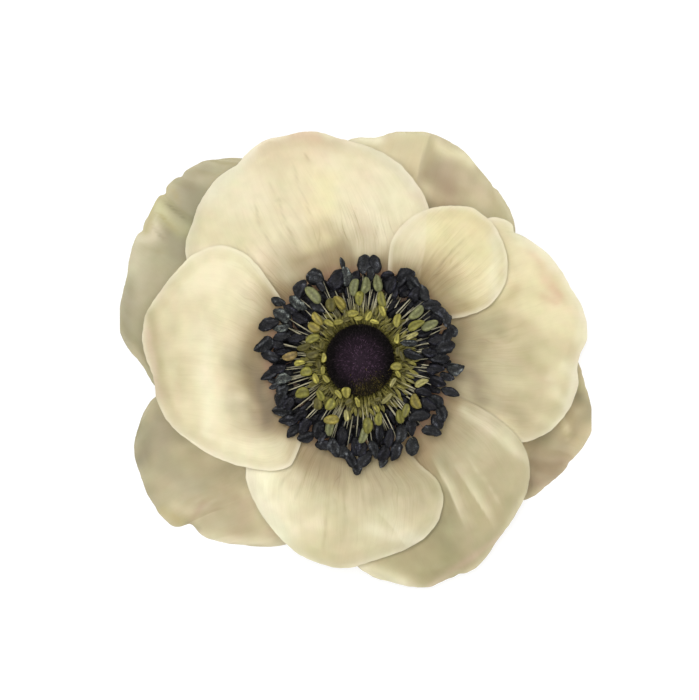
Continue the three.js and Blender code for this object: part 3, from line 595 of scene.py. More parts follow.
# Anthers where the photograph shows them: x, y, heading of the long side in degrees, length, width and
# tone
DARK_ANTHERS = [
    (13.2, 0.3, 0, 3.6, 1.7, 0.1), (11.7, 1.2, 175, 3.0, 1.4, 0.0), (14.1, 2.2, 20, 3.6, 2.3, 0.1),
    (12.8, 3.3, 15, 3.0, 1.6, 0.0), (14.5, 4.1, 60, 2.8, 1.8, 0.1), (10.7, 4.5, 15, 2.8, 1.4, 0.0),
    (15.4, 5.0, 120, 2.4, 1.6, 0.2), (14.4, 6.9, 100, 2.6, 1.6, 0.2), (12.8, 6.9, 140, 2.6, 1.5, 0.0),
    (13.2, 8.1, 145, 3.2, 1.8, 0.1), (11.7, 9.2, 5, 3.6, 1.8, 0.1), (10.4, 11.3, 125, 3.4, 1.8, 0.2),
    (9.0, 11.1, 70, 2.8, 1.6, 0.0), (9.0, 12.6, 130, 3.2, 2.0, 0.2), (7.5, 14.1, 28, 3.4, 2.3, 0.1),
    (6.7, 13.3, 50, 3.4, 2.0, 0.1), (5.0, 12.6, 70, 3.2, 1.8, 0.0), (4.5, 14.0, 20, 2.4, 1.8, 0.0),
    (2.5, 16.0, 105, 3.2, 1.9, 0.1), (1.8, 14.3, 90, 2.4, 1.4, 0.2), (0.7, 16.0, 80, 3.4, 2.1, 0.2),
    (-0.8, 14.1, 90, 1.8, 1.6, 0.0), (-2.2, 14.0, 100, 3.4, 1.7, 0.8), (-2.9, 16.1, 102, 2.3, 0.8, 0.3),
    (-3.9, 13.4, 70, 3.8, 2.4, 0.0), (-6.7, 12.6, 125, 2.7, 1.2, 0.1), (-7.5, 13.9, 170, 3.0, 2.5, 0.2),
    (-10.1, 11.9, 68, 3.4, 1.9, 0.1), (-7.3, 8.9, 140, 3.2, 1.6, 0.1), (-10.4, 9.4, 142, 3.6, 1.7, 0.9),
    (-11.7, 8.3, 150, 2.8, 1.3, 0.0), (-13.7, 9.7, 160, 2.5, 1.4, 0.3), (-13.1, 7.5, 155, 3.2, 2.1, 0.6),
    (-10.1, 6.9, 155, 3.0, 1.4, 0.0), (-15.3, 6.0, 20, 3.6, 1.9, 0.1), (-13.2, 5.3, 10, 2.9, 1.3, 1.0),
    (-13.0, 3.9, 10, 3.2, 1.5, 0.1), (-16.0, 2.4, 35, 3.6, 2.2, 0.2), (-13.9, 2.6, 170, 2.6, 1.5, 0.0),
    (-10.6, 3.6, 10, 3.0, 1.3, 0.0), (-12.8, 1.3, 5, 2.8, 1.2, 0.0), (-14.9, 0.6, 165, 3.4, 1.8, 0.1),
    (-13.7, -1.5, 10, 3.0, 1.5, 0.0), (-15.1, -2.4, 30, 3.4, 1.6, 0.1), (-12.8, -3.0, 10, 2.7, 1.7, 1.0),
    (-14.5, -3.5, 160, 2.4, 1.1, 0.2), (-14.3, -4.4, 30, 1.9, 0.9, 0.2), (-13.0, -5.1, 60, 2.6, 1.9, 0.2),
    (-13.4, -6.5, 70, 2.8, 1.8, 0.1), (-11.9, -7.3, 50, 2.6, 1.6, 0.0), (-13.0, -8.5, 175, 3.6, 1.8, 0.2),
    (-10.1, -9.2, 40, 2.8, 1.4, 0.0), (-11.9, -10.0, 5, 3.4, 1.7, 0.1), (-11.1, -11.7, 40, 3.2, 1.7, 0.1),
    (-9.4, -11.0, 60, 3.0, 1.8, 0.0), (-9.0, -12.9, 15, 3.0, 1.8, 0.1), (-7.1, -11.5, 70, 3.2, 1.9, 0.1),
    (-6.4, -12.8, 60, 2.2, 1.2, 0.1), (-5.9, -14.2, 5, 3.2, 1.7, 0.1), (-4.4, -14.6, 110, 3.6, 1.8, 0.2),
    (-2.9, -12.7, 85, 3.4, 1.8, 0.0), (-2.9, -15.3, 115, 3.0, 1.8, 0.2), (-1.6, -16.5, 120, 3.4, 1.8, 0.1),
    (-0.6, -14.4, 95, 3.2, 1.8, 0.0), (-0.5, -18.2, 85, 2.1, 1.5, 0.2), (0.6, -16.7, 50, 4.0, 1.8, 0.1),
    (0.3, -14.6, 80, 3.0, 1.8, 0.0), (2.4, -14.9, 110, 3.2, 1.5, 0.2), (3.1, -11.9, 90, 3.2, 1.7, 0.1),
    (4.0, -15.5, 65, 3.2, 2.0, 0.0), (3.9, -16.8, 75, 2.6, 1.4, 0.3), (4.8, -13.0, 80, 3.2, 1.6, 0.0),
    (6.1, -15.2, 75, 3.6, 1.7, 0.1), (6.9, -12.3, 80, 3.4, 1.9, 0.2), (8.7, -14.4, 85, 3.2, 2.0, 0.3),
    (8.5, -11.1, 88, 3.2, 1.5, 0.1), (9.8, -9.2, 10, 3.8, 1.9, 0.1), (12.0, -11.8, 168, 3.4, 1.7, 0.2),
    (12.8, -10.4, 120, 2.8, 2.0, 0.1), (11.3, -7.5, 150, 3.0, 1.7, 0.0), (13.7, -8.7, 110, 3.4, 1.9, 0.2),
    (12.7, -6.7, 145, 3.2, 1.8, 0.2), (10.6, -5.2, 165, 3.0, 1.5, 0.0), (15.1, -5.3, 162, 3.2, 1.4, 0.1),
    (12.8, -3.6, 155, 3.2, 1.8, 0.0), (14.5, -2.8, 160, 2.6, 1.4, 0.1), (16.0, -1.6, 8, 3.0, 1.8, 0.4),
    (12.6, -1.4, 0, 3.0, 1.5, 0.0), (8.1, 2.8, 177, 3.0, 1.1, 0.5), (8.8, 0.8, 162, 3.4, 1.5, 0.1),
]
GREEN_ANTHERS = [
    (11.6, 5.8, 25, 2.9, 1.6, "sage"), (8.6, 4.1, 27, 2.2, 0.9, "pale"), (9.3, 5.9, 27, 2.9, 1.5, "green"),
    (9.4, 7.8, 42, 3.0, 1.6, "sage"), (6.1, 6.6, 80, 2.3, 1.3, "yellow"),
    (3.7, 8.3, 112, 2.2, 1.1, "yellow"), (3.5, 10.1, 104, 2.7, 1.4, "green"),
    (2.9, 12.8, 98, 2.7, 1.6, "sage"), (1.0, 12.4, 78, 2.8, 1.6, "sage"),
    (-0.2, 10.3, 85, 2.4, 1.5, "green"), (-1.1, 12.1, 80, 2.9, 1.6, "sage"),
    (-3.4, 9.6, 130, 2.6, 1.7, "gold"), (-4.9, 9.2, 95, 2.3, 1.8, "olive"),
    (-7.8, 10.9, 132, 3.4, 1.8, "sage"), (-7.2, 6.8, 125, 2.5, 1.3, "gold"),
    (-7.7, 5.4, 150, 2.2, 1.6, "gold"), (-8.0, 3.6, 25, 2.4, 1.5, "green"),
    (-9.3, 2.1, 20, 2.4, 1.3, "olive"), (-7.9, 0.9, 15, 2.1, 1.6, "olive"),
    (-11.7, 0.6, 18, 2.6, 1.4, "ochre"), (-10.1, -0.4, 10, 1.8, 1.1, "yellow"),
    (-9.0, -1.9, 15, 2.0, 1.6, "green"), (-7.4, -3.1, 110, 1.8, 1.1, "yellow"),
    (-9.7, -5.4, 15, 2.4, 1.9, "green"), (-6.6, -5.8, 115, 2.0, 1.3, "green"),
    (-7.0, -7.2, 92, 2.1, 1.6, "olive"), (-4.9, -7.4, 60, 2.1, 1.7, "green"),
    (-4.8, -9.9, 5, 2.5, 1.7, "gold"), (-5.1, -11.3, 80, 2.6, 1.5, "sage"),
    (-2.3, -9.2, 95, 1.9, 0.9, "pale"), (0.6, -12.6, 75, 2.6, 1.4, "sage"),
    (1.3, -10.9, 90, 2.7, 1.7, "green"), (3.0, -9.8, 88, 2.1, 1.4, "green"),
    (6.6, -9.4, 100, 2.3, 1.5, "green"), (7.6, -8.4, 75, 2.3, 1.3, "green"),
    (9.1, -6.9, 112, 2.6, 1.7, "gold"), (10.2, -3.7, 25, 2.4, 1.2, "pale"),
    (6.9, 0.6, 110, 1.8, 0.7, "olive"), (6.2, 1.4, 90, 1.6, 0.9, "olive"),
    (6.1, 3.6, 80, 1.7, 0.9, "yellow"), (4.9, 5.3, 45, 1.5, 0.9, "olive"),
    (2.4, 6.4, 165, 1.5, 0.8, "yellow"), (1.4, 7.3, 60, 1.7, 1.0, "yellow"),
    (-0.3, 6.9, 5, 1.5, 0.8, "yellow"), (-1.2, 7.8, 10, 1.9, 1.2, "yellow"),
    (-2.3, 6.7, 20, 1.5, 0.9, "olive"), (-3.6, 6.3, 10, 1.7, 1.0, "yellow"),
    (-5.2, 6.2, 150, 1.8, 1.0, "yellow"), (-5.0, 4.7, 140, 1.5, 0.9, "olive"),
    (-6.3, 2.6, 70, 1.6, 1.0, "olive"), (-6.0, 0.4, 85, 1.6, 0.9, "yellow"),
    (-6.9, -0.7, 100, 1.6, 1.0, "olive"), (-6.2, -1.7, 90, 1.4, 0.8, "yellow"),
    (-5.7, -3.1, 130, 1.6, 0.9, "yellow"), (-4.7, -5.0, 120, 1.5, 0.8, "olive"),
    (-3.6, -5.6, 130, 1.7, 0.9, "yellow"), (-2.3, -5.4, 95, 1.8, 1.7, "yellow"),
    (-1.9, -6.9, 30, 1.5, 1.1, "olive"), (-0.4, -7.0, 110, 1.8, 0.8, "yellow"),
    (2.9, -6.5, 20, 1.3, 0.8, "olive"), (2.8, -8.1, 120, 1.5, 0.9, "yellow"),
    (4.5, -6.4, 45, 2.4, 0.9, "pale"), (5.4, -3.7, 60, 1.8, 0.8, "pale"),
    (6.3, -2.3, 120, 1.3, 0.8, "yellow"), (6.0, -1.0, 5, 1.9, 1.4, "yellow"),
]

# Head: where its sphere is cut off below, from -1 to 1, how much wider than the imported one it is drawn
# across X, its bumps, its hairs and its colours, the lighter purple top partly a painted sheen, which
# DOME_DIM darkens on the skin between the hairs.
# A span says how far down from the top bumps or hairs reach, up to 2.
HEAD_CUT = -0.62
HEAD_WIDEN = 1.04
HEAD_RINGS = 60
HEAD_SIDES = 96
BUMPS = 420
BUMPS_SPAN = 1.5
BUMP_REACH = 0.09
GOLDEN = math.pi * (3 - math.sqrt(5))
HEAD_HAIRS = 4200
HEAD_HAIRS_SPAN = 1.45
HEAD_HAIR_ROOTS = 0.995
HEAD_HAIR_RADII = [0.065, 0.06, 0.045, 0.02]
HEAD_RIM = (26, 22, 23)
# dark purple of the top, lighter than the rim partly as a painted sheen
HEAD_TOP_AND_SHEEN = (62, 46, 60)
HEAD_OLIVE = (64, 57, 32)
DOME_DIM = 0.55
DUSTY_HAIR = (92, 82, 42)

# Stub of the stalk with its cut face, the height where its flare ends, its ribs, as deep as this part
# of its radius, and its down
STUB_RADIUS = 2.4
STUB_HEIGHT = 3.0
STUB_EDGE = 0.3
FLARE_TOP = 5.8
STALK_SIDES = 72
STALK_RIBS = 14
STALK_RIB_DEPTH = 0.02
DOWN_HAIRS = 520
DOWN_HEIGHTS = (0.5, 4.6)
DOWN_RADII = [0.035, 0.03, 0.02, 0.01]
HAIR_SIDES = 4
STALK_GREEN = (118, 134, 70)
COLUMN_GREEN = (150, 150, 92)
CUT_MIDDLE = (178, 186, 132)
CUT_EDGE = (206, 208, 166)
DOWN_COLOR = (196, 200, 160)

# Seeds of the random draws
DARK_SEED = 107
GREEN_SEED = 111
HEAD_SEED = 5
STALK_SEED = 17


# Small helpers
def smoothstep(x, low, high):
    f = np.clip((x - low) / (high - low), 0, 1)
    return f * f * (3 - 2 * f)


def linear(color):
    c = np.array(color, float) / 255
    return np.where(c <= 0.04045, c / 12.92, ((c + 0.055) / 1.055) ** 2.4)


def mix(a, b, share):
    return a + (b - a) * np.asarray(share)[..., None]


def radius_of(xy):
    return np.hypot(xy[..., 0], xy[..., 1])


def unit(vectors):
    return vectors / np.linalg.norm(vectors, axis=-1, keepdims=True)


def circle(sides):
    return np.linspace(0, 2 * math.pi, sides, endpoint=False)


def ripples(xy, wavelength, seed, waves=9):
    """Smooth seeded noise, about -1 to 1, from crossing sine waves."""
    rng = np.random.RandomState(seed)
    total = np.zeros(xy.shape[:-1])
    for _ in range(waves):
        angle = rng.uniform(0, 2 * math.pi)
        size = wavelength * rng.uniform(0.7, 1.5)
        phase = rng.uniform(0, 2 * math.pi)
        along = xy[..., 0] * math.cos(angle) + xy[..., 1] * math.sin(angle)
        total += np.sin(2 * math.pi * along / size + phase)
    return total / math.sqrt(waves)


def layered(xy, layers, seed):
    return sum(size * ripples(xy, wavelength, seed + extra) for size, wavelength, extra in layers)


def stray(xy, layer, seed, scale=1):
    """Points moved by a layer of noise, so that what is drawn at them wanders."""
    size, wavelength, extra = layer
    moves = [ripples(xy, wavelength, seed + extra + axis) for axis in (0, 1)]
    return xy + size * scale * np.stack(moves, -1)


def build_mesh(name, points, faces, material, colors, uv=None):
    """A smooth mesh from millimetre points about the flower's axis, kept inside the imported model's box.
    colors and uv are per point."""
    mesh = bpy.data.meshes.new(name)
    placed = np.asarray(points, float) * MM + np.array([AXIS_X, AXIS_Y, 0])
    placed = np.clip(placed, np.array(cad_low), np.array(cad_high))
    mesh.from_pydata(placed.tolist(), [], [list(map(int, f)) for f in faces])
    mesh.polygons.foreach_set("use_smooth", [True] * len(mesh.polygons))
    layer = mesh.color_attributes.new("tint", "FLOAT_COLOR", "POINT")
    rgba = np.ones((len(placed), 4), np.float32)
    rgba[:, :3] = colors
    layer.data.foreach_set("color", rgba.ravel())
    if uv is not None:
        corner = np.zeros(len(mesh.loops), np.int32)
        mesh.loops.foreach_get("vertex_index", corner)
        layer = mesh.uv_layers.new(name="blade")
        layer.data.foreach_set("uv", np.asarray(uv, np.float32)[corner].ravel())
    mesh.update()
    mesh.materials.append(material)
    piece = bpy.data.objects.new(name, mesh)
    bpy.context.scene.collection.objects.link(piece)
    return piece


# Petal surface
def curve_points(points, share):
    """Points at shares (0 to 1 of the chord length) on a smooth open curve."""
    p = np.array(points, float)
    lengths = np.r_[0, np.cumsum(np.linalg.norm(np.diff(p, axis=0), axis=1))]
    target = np.asarray(share, float).ravel() * lengths[-1]
    k = np.clip(np.searchsorted(lengths, target, side="right") - 1, 0, len(p) - 2)
    q = np.vstack([2 * p[0] - p[1], p, 2 * p[-1] - p[-2]])
    steps = np.linalg.norm(np.diff(q, axis=0), axis=1)
    span = steps[k + 1][:, None]
    f = ((target - lengths[k]) / steps[k + 1])[:, None]
    start = (q[k + 2] - q[k]) * span / (steps[k][:, None] + span)
    end = (q[k + 3] - q[k + 1]) * span / (steps[k + 2][:, None] + span)
    found = ((2 * f**3 - 3 * f**2 + 1) * q[k + 1] + (f**3 - 2 * f**2 + f) * start
             + (3 * f**2 - 2 * f**3) * q[k + 2] + (f**3 - f**2) * end)
    return found.reshape(np.shape(share) + (2,))


def base_arc(petal, across):
    angle = np.radians(petal["direction"] + petal["half"] * (2 * np.asarray(across) - 1))
    return PETAL_BASE_RADIUS * np.stack([np.cos(angle), np.sin(angle)], -1)


def rim_point(petal, share):
    """The outline with the petal's nicks and a small seeded unevenness."""
    edge = [base_arc(petal, 0), *petal["outline"], base_arc(petal, 1)]
    point = curve_points(edge, share)
    step = 0.002
    ahead = curve_points(edge, np.clip(np.asarray(share) + step, 0, 1))
    behind = curve_points(edge, np.clip(np.asarray(share) - step, 0, 1))
    tangent = unit(ahead - behind)
    inward = np.stack([-tangent[..., 1], tangent[..., 0]], -1)
    free = smoothstep(radius_of(point), *FREE_RADII)
    depth = (layered(point, RIM_UNEVEN, petal["seed"]) - petal.get("grow", 0)) * free
    for x, y, width, size in petal.get("nicks", []):
        away = np.hypot(point[..., 0] - x, point[..., 1] - y)
        depth = depth + size * np.exp(-((away / width) ** 2))
    return point + inward * depth[..., None]


def blade_plan(petal, along, across):
    """The blade seen from above, spread smoothly between its base, its two sides and its rim."""
    corner = petal.get("corner", PETAL_CORNER)
    ends = [rim_point(petal, np.array(share)) for share in (0.0, 1.0, corner, 1 - corner)]
    s = along[..., None]
    t = across[..., None]
    flat = (1 - s) * (1 - t) * ends[0] + (1 - s) * t * ends[1] + s * (1 - t) * ends[2] + s * t * ends[3]
    return ((1 - s) * base_arc(petal, across) + s * rim_point(petal, corner + (1 - 2 * corner) * across)
            + (1 - t) * rim_point(petal, corner * along) + t * rim_point(petal, 1 - corner * along) - flat)


def rim_distance(petal, xy):
    flat = xy.reshape(-1, 2)
    best = np.full(len(flat), np.inf)
    for x, y in rim_point(petal, np.linspace(0, 1, RIM_STEPS)):
        best = np.minimum(best, np.hypot(flat[:, 0] - x, flat[:, 1] - y))
    return best.reshape(xy.shape[:-1])


def profile_height(heights, radius):
    """The height at a radius on a smooth curve through the profile's heights."""
    n = len(heights)
    place = np.clip((radius - PROFILE_START) / PROFILE_STEP, 0, n - 1.0001)
    k = place.astype(int)
    f = place - k
    h = np.array([2 * heights[0] - heights[1], *heights, 2 * heights[-1] - heights[-2]], float)
    a, b, c, d = h[k], h[k + 1], h[k + 2], h[k + 3]
    return 0.5 * (2 * b + (c - a) * f + (2 * a - 5 * b + 4 * c - d) * f**2
                  + (3 * b - a - 3 * c + d) * f**3)


def packed_height(petal, xy):
    """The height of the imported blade's middle."""
    radius = radius_of(xy)
    turn = np.degrees(np.arctan2(xy[..., 1], xy[..., 0])) - petal["direction"]
    side = np.clip(((turn + 180) % 360 - 180) / SIDE_ANGLE, -SIDE_LIMIT, SIDE_LIMIT)
    ramp = smoothstep(radius, PROFILE_START, PROFILE_START + SIDE_RAMP)
    height = profile_height(petal["heights"], radius)
    height = height + ramp * (petal.get("tilt", 0) * side + petal["cup"] * side**2)
    return np.maximum(height, CAD_HALF_THICKNESS)


def near_line(xy, x0, y0, x1, y1, width):
    """1 on a line, fading smoothly to 0 about a width and a half away and past its ends."""
    start = np.array([x0, y0])
    run = np.array([x1 - x0, y1 - y0])
    share = np.clip(((xy - start) @ run) / (run @ run), 0, 1)
    away = np.linalg.norm(xy - start - share[..., None] * run, axis=-1)
    return np.exp(-((away / width) ** 2))


def beside(xy, x0, y0, x1, y1):
    """How far along a line each point is, 0 to 1 between its ends, and how far to the left of it."""
    run = np.array([x1 - x0, y1 - y0])
    across = np.array([-run[1], run[0]])
    offset = xy - np.array([x0, y0])
    return offset @ run / (run @ run), offset @ across / np.linalg.norm(run)


def tapered_line(xy, x0, y0, x1, y1, width):
    """1 along the middle of a line, narrowing and fading to 0 at both ends."""
    along, left = beside(xy, x0, y0, x1, y1)
    full = np.clip(4 * along * (1 - along), 0, 1) ** 0.6
    return full * np.exp(-((left / (width * (0.35 + 0.65 * full))) ** 2))


def left_of_line(xy, x0, y0, x1, y1, reach):
    """1 just left of a line, 0 right of it, fading to 0 at reach and towards both of the line's ends."""
    along, left = beside(xy, x0, y0, x1, y1)
    ends = smoothstep(along, 0, 0.5) * (1 - smoothstep(along, 0.6, 1))
    return smoothstep(left, 0, 0.3) * (1 - smoothstep(left, 0.3, reach)) * ends


def petal_colors(petal, xy, distance):
    """The blade's colour at each point: painted shade deep under the stamens, the heart, the brown base
    with the stamens' painted shade, its own colour, painted shade along a back rim and a painted highlight
    along a front rim, then its strokes, creases and panels with their painted shade and painted light."""
    radius = radius_of(xy)
    seed = petal["seed"]
    # painted shade deep under the stamens, the heart's own salmon brown, then the brown base with the
    # stamens' painted shade
    color = mix(linear(DEEP_SHADE), linear(HEART), smoothstep(radius, *HEART_RADII))
    color = mix(color, linear(BROWN_AND_SHADE), smoothstep(radius, *BROWN_AND_SHADE_RADII))
    own_share = smoothstep(radius + layered(xy, OWN_DRIFT, seed), *petal.get("shade", OWN_RADII))
    color = mix(color, linear(petal["color"]), own_share)
    # painted shade along a back petal's rim, a painted highlight along a front petal's rim
    if petal["heights"] is BACK_HEIGHTS:
        rim, share, inward = RIM_SHADE, RIM_SHADE_SHARE, RIM_SHADE_REACH
    else:
        rim, share, inward = RIM_HIGHLIGHT, petal.get("rim", RIM_HIGHLIGHT_SHARE), RIM_HIGHLIGHT_REACH
    color = mix(color, linear(rim), share * (1 - smoothstep(distance, *inward)))
    for *line, width, tint, strength in petal["strokes"]:
        wander = stray(xy, STROKE_STRAY, seed, width)
        color = mix(color, linear(tint), strength * near_line(wander, *line, width))
    for *line, width, tint, strength in petal.get("creases", []):
        wander = stray(xy, CREASE_STRAY, seed)
        broken = strength * np.clip(0.85 + layered(xy, CREASE_BREAKS, seed), 0, 1.2)
        color = mix(color, linear(tint), broken * tapered_line(wander, *line, width))
    for *line, reach, tint, strength in petal.get("panels", []):
        wander = stray(xy, PANEL_STRAY, seed)
        color = mix(color, linear(tint), strength * left_of_line(wander, *line, reach))
    color = color * (1 + layered(xy, LIGHTNESS, seed))[..., None]
    color = color * (1 + layered(xy, ROSINESS, seed)[..., None] * np.array(ROSY_TINT))
    return np.clip(color, 0, 1)


def under_colors(petal, xy):
    own_share = smoothstep(radius_of(xy), *UNDER_RADII)
    color = mix(linear(UNDER_BASE), linear(petal["color"]), own_share) * UNDER_SHADE
    return color * (1 + layered(xy, UNDER_LIGHTNESS, petal["seed"]))[..., None]


def blade_height(petal, xy, across, distance):
    """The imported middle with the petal's folds, its waved and drooping rim, ribs and soft swellings."""
    radius = radius_of(xy)
    seed = petal["seed"]
    height = packed_height(petal, xy)
    for *line, width, rise in petal["folds"]:
        height = height + rise * tapered_line(xy, *line, width)
    size, count = petal["wave"]
    waved = smoothstep(radius, *WAVE_RADII) * (1 - smoothstep(distance, *WAVE_REACH))
    height = height + size * waved * np.sin(2 * math.pi * (count * across + 0.13 * seed))
    drooping = smoothstep(radius, *DROOP_RADII) * (1 - smoothstep(distance, 0, DROOP_REACH))
    height = height - petal.get("droop", 0) * drooping
    ribs = np.cos(2 * math.pi * (RIBS * across + layered(xy, RIB_DRIFT, seed)))
    height = height + RIB_HEIGHT * smoothstep(radius, *RIB_RADII) * smoothstep(distance, *RIB_REACH) * ribs
    height = height + SWELL_HEIGHT * smoothstep(radius, *SWELL_RADII) * ripples(xy, SWELL_LENGTH, seed + 2)
    return np.maximum(height, LOWEST_MIDDLE)


def shell_faces(rows, columns):
    """Faces of a grid of upper points, of the same grid of lower points and of the edge between them."""
    faces = []
    for i in range(rows - 1):
        for j in range(columns - 1):
            a = i * columns + j
            faces.append((a, a + columns, a + columns + 1, a + 1))
    below = rows * columns
    faces += [tuple(below + k for k in reversed(f)) for f in faces]
    loop = [i * columns for i in range(rows - 1)]
    loop += [(rows - 1) * columns + j for j in range(columns - 1)]
    loop += [i * columns + columns - 1 for i in range(rows - 1, 0, -1)]
    loop += range(columns - 1, 0, -1)
    for a, b in zip(loop, loop[1:] + loop[:1]):
        faces.append((below + a, below + b, b, a))
    return faces


def twice(values):
    """Values of a grid as one row for the upper points and one for the lower ones."""
    flat = values.reshape(-1, *values.shape[2:])
    return np.concatenate([flat, flat])


def make_petal(name, petal, material):
    rows = BACK_ROWS if petal["heights"] is BACK_HEIGHTS else FRONT_ROWS
    along, across = np.meshgrid(np.linspace(0, 1, rows + 1), np.linspace(0, 1, COLUMNS + 1), indexing="ij")
    xy = blade_plan(petal, along, across)
    distance = rim_distance(petal, xy)
    middle = np.concatenate([xy, blade_height(petal, xy, across, distance)[..., None]], -1)
    normal = unit(np.cross(np.gradient(middle, axis=0), np.gradient(middle, axis=1)))
    thickness = RIM_THICKNESS + (PETAL_THICKNESS - RIM_THICKNESS) * smoothstep(distance, 0, RIM_TAPER)
    upper = middle + normal * thickness[..., None] / 2
    lower = middle - normal * thickness[..., None] / 2
    lower[..., 2] = np.maximum(lower[..., 2], 0.0)
    points = np.concatenate([upper.reshape(-1, 3), lower.reshape(-1, 3)])
    colors = np.concatenate([petal_colors(petal, xy, distance).reshape(-1, 3),
                             under_colors(petal, xy).reshape(-1, 3)])
    piece = build_mesh(name + "_blade", points, shell_faces(*along.shape), material, colors,
                       twice(np.stack([across, along], -1)))
    piece.data.set_sharp_from_angle(angle=math.radians(RIM_ANGLE))
    veins = petal["veins"] * (1 - smoothstep(radius_of(xy), *VEIN_RADII))
    veins = veins * (0.75 + layered(xy, VEIN_DRIFT, petal["seed"]))
    strength = piece.data.attributes.new("vein", "FLOAT", "POINT")
    strength.data.foreach_set("value", np.clip(twice(veins), 0, 1))
    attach(piece, "root")
    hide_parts(name)


# Materials
def new_material(name, roughness, **sockets):
    material = bpy.data.materials.new(name)
    material.use_nodes = True
    shader = material.node_tree.nodes["Principled BSDF"]
    shader.inputs["Roughness"].default_value = roughness
    for key, value in sockets.items():
        shader.inputs[key.replace("_", " ")].default_value = value
    return material, material.node_tree, shader


def tinted(tree, shader, pattern, dark):
    """Base colour from the tint attribute, darkened where pattern (0 to 1) is high."""
    tint = tree.nodes.new("ShaderNodeVertexColor")
    tint.layer_name = "tint"
    blend = tree.nodes.new("ShaderNodeMix")
    blend.data_type = "RGBA"
    blend.blend_type = "MULTIPLY"
    blend.inputs["B"].default_value = (*dark, 1)
    tree.links.new(pattern, blend.inputs["Factor"])
    tree.links.new(tint.outputs["Color"], blend.inputs["A"])
    tree.links.new(blend.outputs["Result"], shader.inputs["Base Color"])


def relief(tree, shader, height, strength, distance):
    bump = tree.nodes.new("ShaderNodeBump")
    bump.inputs["Strength"].default_value = strength
    bump.inputs["Distance"].default_value = distance
    tree.links.new(height, bump.inputs["Height"])
    tree.links.new(bump.outputs["Normal"], shader.inputs["Normal"])


def noise(tree, vector, scale, detail, roughness):
    node = tree.nodes.new("ShaderNodeTexNoise")
    node.inputs["Scale"].default_value = scale
    node.inputs["Detail"].default_value = detail
    node.inputs["Roughness"].default_value = roughness
    tree.links.new(vector, node.inputs["Vector"])
    return node.outputs["Fac"]


def object_noise(tree, scale, detail):
    """Even noise in object space, scale per metre."""
    place = tree.nodes.new("ShaderNodeTexCoord")
    return noise(tree, place.outputs["Object"], scale, detail, 0.5)


def blade_uv(tree):
    uv = tree.nodes.new("ShaderNodeUVMap")
    uv.uv_map = "blade"
    return uv.outputs["UV"]


def stretched_noise(tree, across, along, detail):
    """Noise drawn out along the blade: about this many features across it and along it."""
    stretch = tree.nodes.new("ShaderNodeMapping")
    stretch.inputs["Scale"].default_value = (across, along, 1)
    tree.links.new(blade_uv(tree), stretch.inputs["Vector"])
    return noise(tree, stretch.outputs["Vector"], 1.0, detail, 0.55)


def math_node(tree, operation, a, b):
    node = tree.nodes.new("ShaderNodeMath")
    node.operation = operation
    for socket, value in zip(node.inputs, (a, b)):
        if isinstance(value, (int, float)):
            socket.default_value = value
        else:
            tree.links.new(value, socket)
    return node.outputs[0]


def ranged(tree, value, low, high, start, end):
    node = tree.nodes.new("ShaderNodeMapRange")
    node.interpolation_type = "SMOOTHSTEP"
    for socket, number in zip(node.inputs[1:5], (low, high, start, end)):
        socket.default_value = number
    tree.links.new(value, node.inputs["Value"])
    return node.outputs["Result"]


def vein_lines(tree, count, wander, width):
    """Thin lines along the blade, 1 on a line, that stray to the sides without crossing."""
    split = tree.nodes.new("ShaderNodeSeparateXYZ")
    tree.links.new(blade_uv(tree), split.inputs["Vector"])
    place = math_node(tree, "MULTIPLY", split.outputs["X"], count)
    sideways = math_node(tree, "MULTIPLY", stretched_noise(tree, 5, 2.2, 2), wander)
    place = math_node(tree, "PINGPONG", math_node(tree, "ADD", place, sideways), 0.5)
    return ranged(tree, place, 0.0, width, 1.0, 0.0)


def petal_material():
    """Cream tissue with veins and streaks that fade towards the rim, fibres and a fine mottle."""
    material, tree, shader = new_material("petal", **PETAL_SKIN)
    strength = tree.nodes.new("ShaderNodeAttribute")
    strength.attribute_name = "vein"
    veins = 0.0
    for count, wander, width, across, along, low, high in VEIN_LAYERS:
        patches = ranged(tree, stretched_noise(tree, across, along, 1.5), low, high, 0.0, 1.0)
        lines = math_node(tree, "MULTIPLY", vein_lines(tree, count, wander, width), patches)
        veins = math_node(tree, "MAXIMUM", veins, lines)
    veins = math_node(tree, "MULTIPLY", veins, strength.outputs["Fac"])
    fibres = ranged(tree, stretched_noise(tree, *FIBRES), *FIBRE_SPAN)
    streaks = ranged(tree, stretched_noise(tree, *STREAKS), *STREAK_SPAN)
    streaks = math_node(tree, "MULTIPLY", streaks, strength.outputs["Fac"])
    mottle = ranged(tree, object_noise(tree, *MOTTLE), *MOTTLE_SPAN)
    pattern = math_node(tree, "MULTIPLY", veins, VEIN_SHARE)
    for part in (fibres, streaks, mottle):
        pattern = math_node(tree, "ADD", pattern, part)
    tinted(tree, shader, pattern, PATTERN_DARK)
    relief(tree, shader, math_node(tree, "SUBTRACT", fibres, veins), *PETAL_RELIEF)
    return material


def speckled_material(name, roughness, scale, span, dark, strength, distance, **sockets):
    """Tint attribute with fine noise in colour and relief, in object space (metres). The noise darkens
    from 0 to 1 over the span of its values: the narrower, the sharper the specks."""
    material, tree, shader = new_material(name, roughness, **sockets)
    specks = object_noise(tree, scale, 4)
    tinted(tree, shader, ranged(tree, specks, *span, 0.0, 1.0), dark)
    relief(tree, shader, specks, strength, distance)
    return material


# Many small closed meshes in one piece
class Batch:
    def __init__(self):
        self.points = []
        self.faces = []
        self.colors = []
        self.count = 0

    def add(self, points, faces, colors):
        self.faces += [tuple(self.count + k for k in f) for f in faces]
        self.points.append(np.asarray(points, float))
        self.colors.append(np.broadcast_to(colors, (len(points), 3)))
        self.count += len(points)

    def build(self, name, material):
        return build_mesh(name, np.concatenate(self.points), self.faces, material,
                          np.concatenate(self.colors))


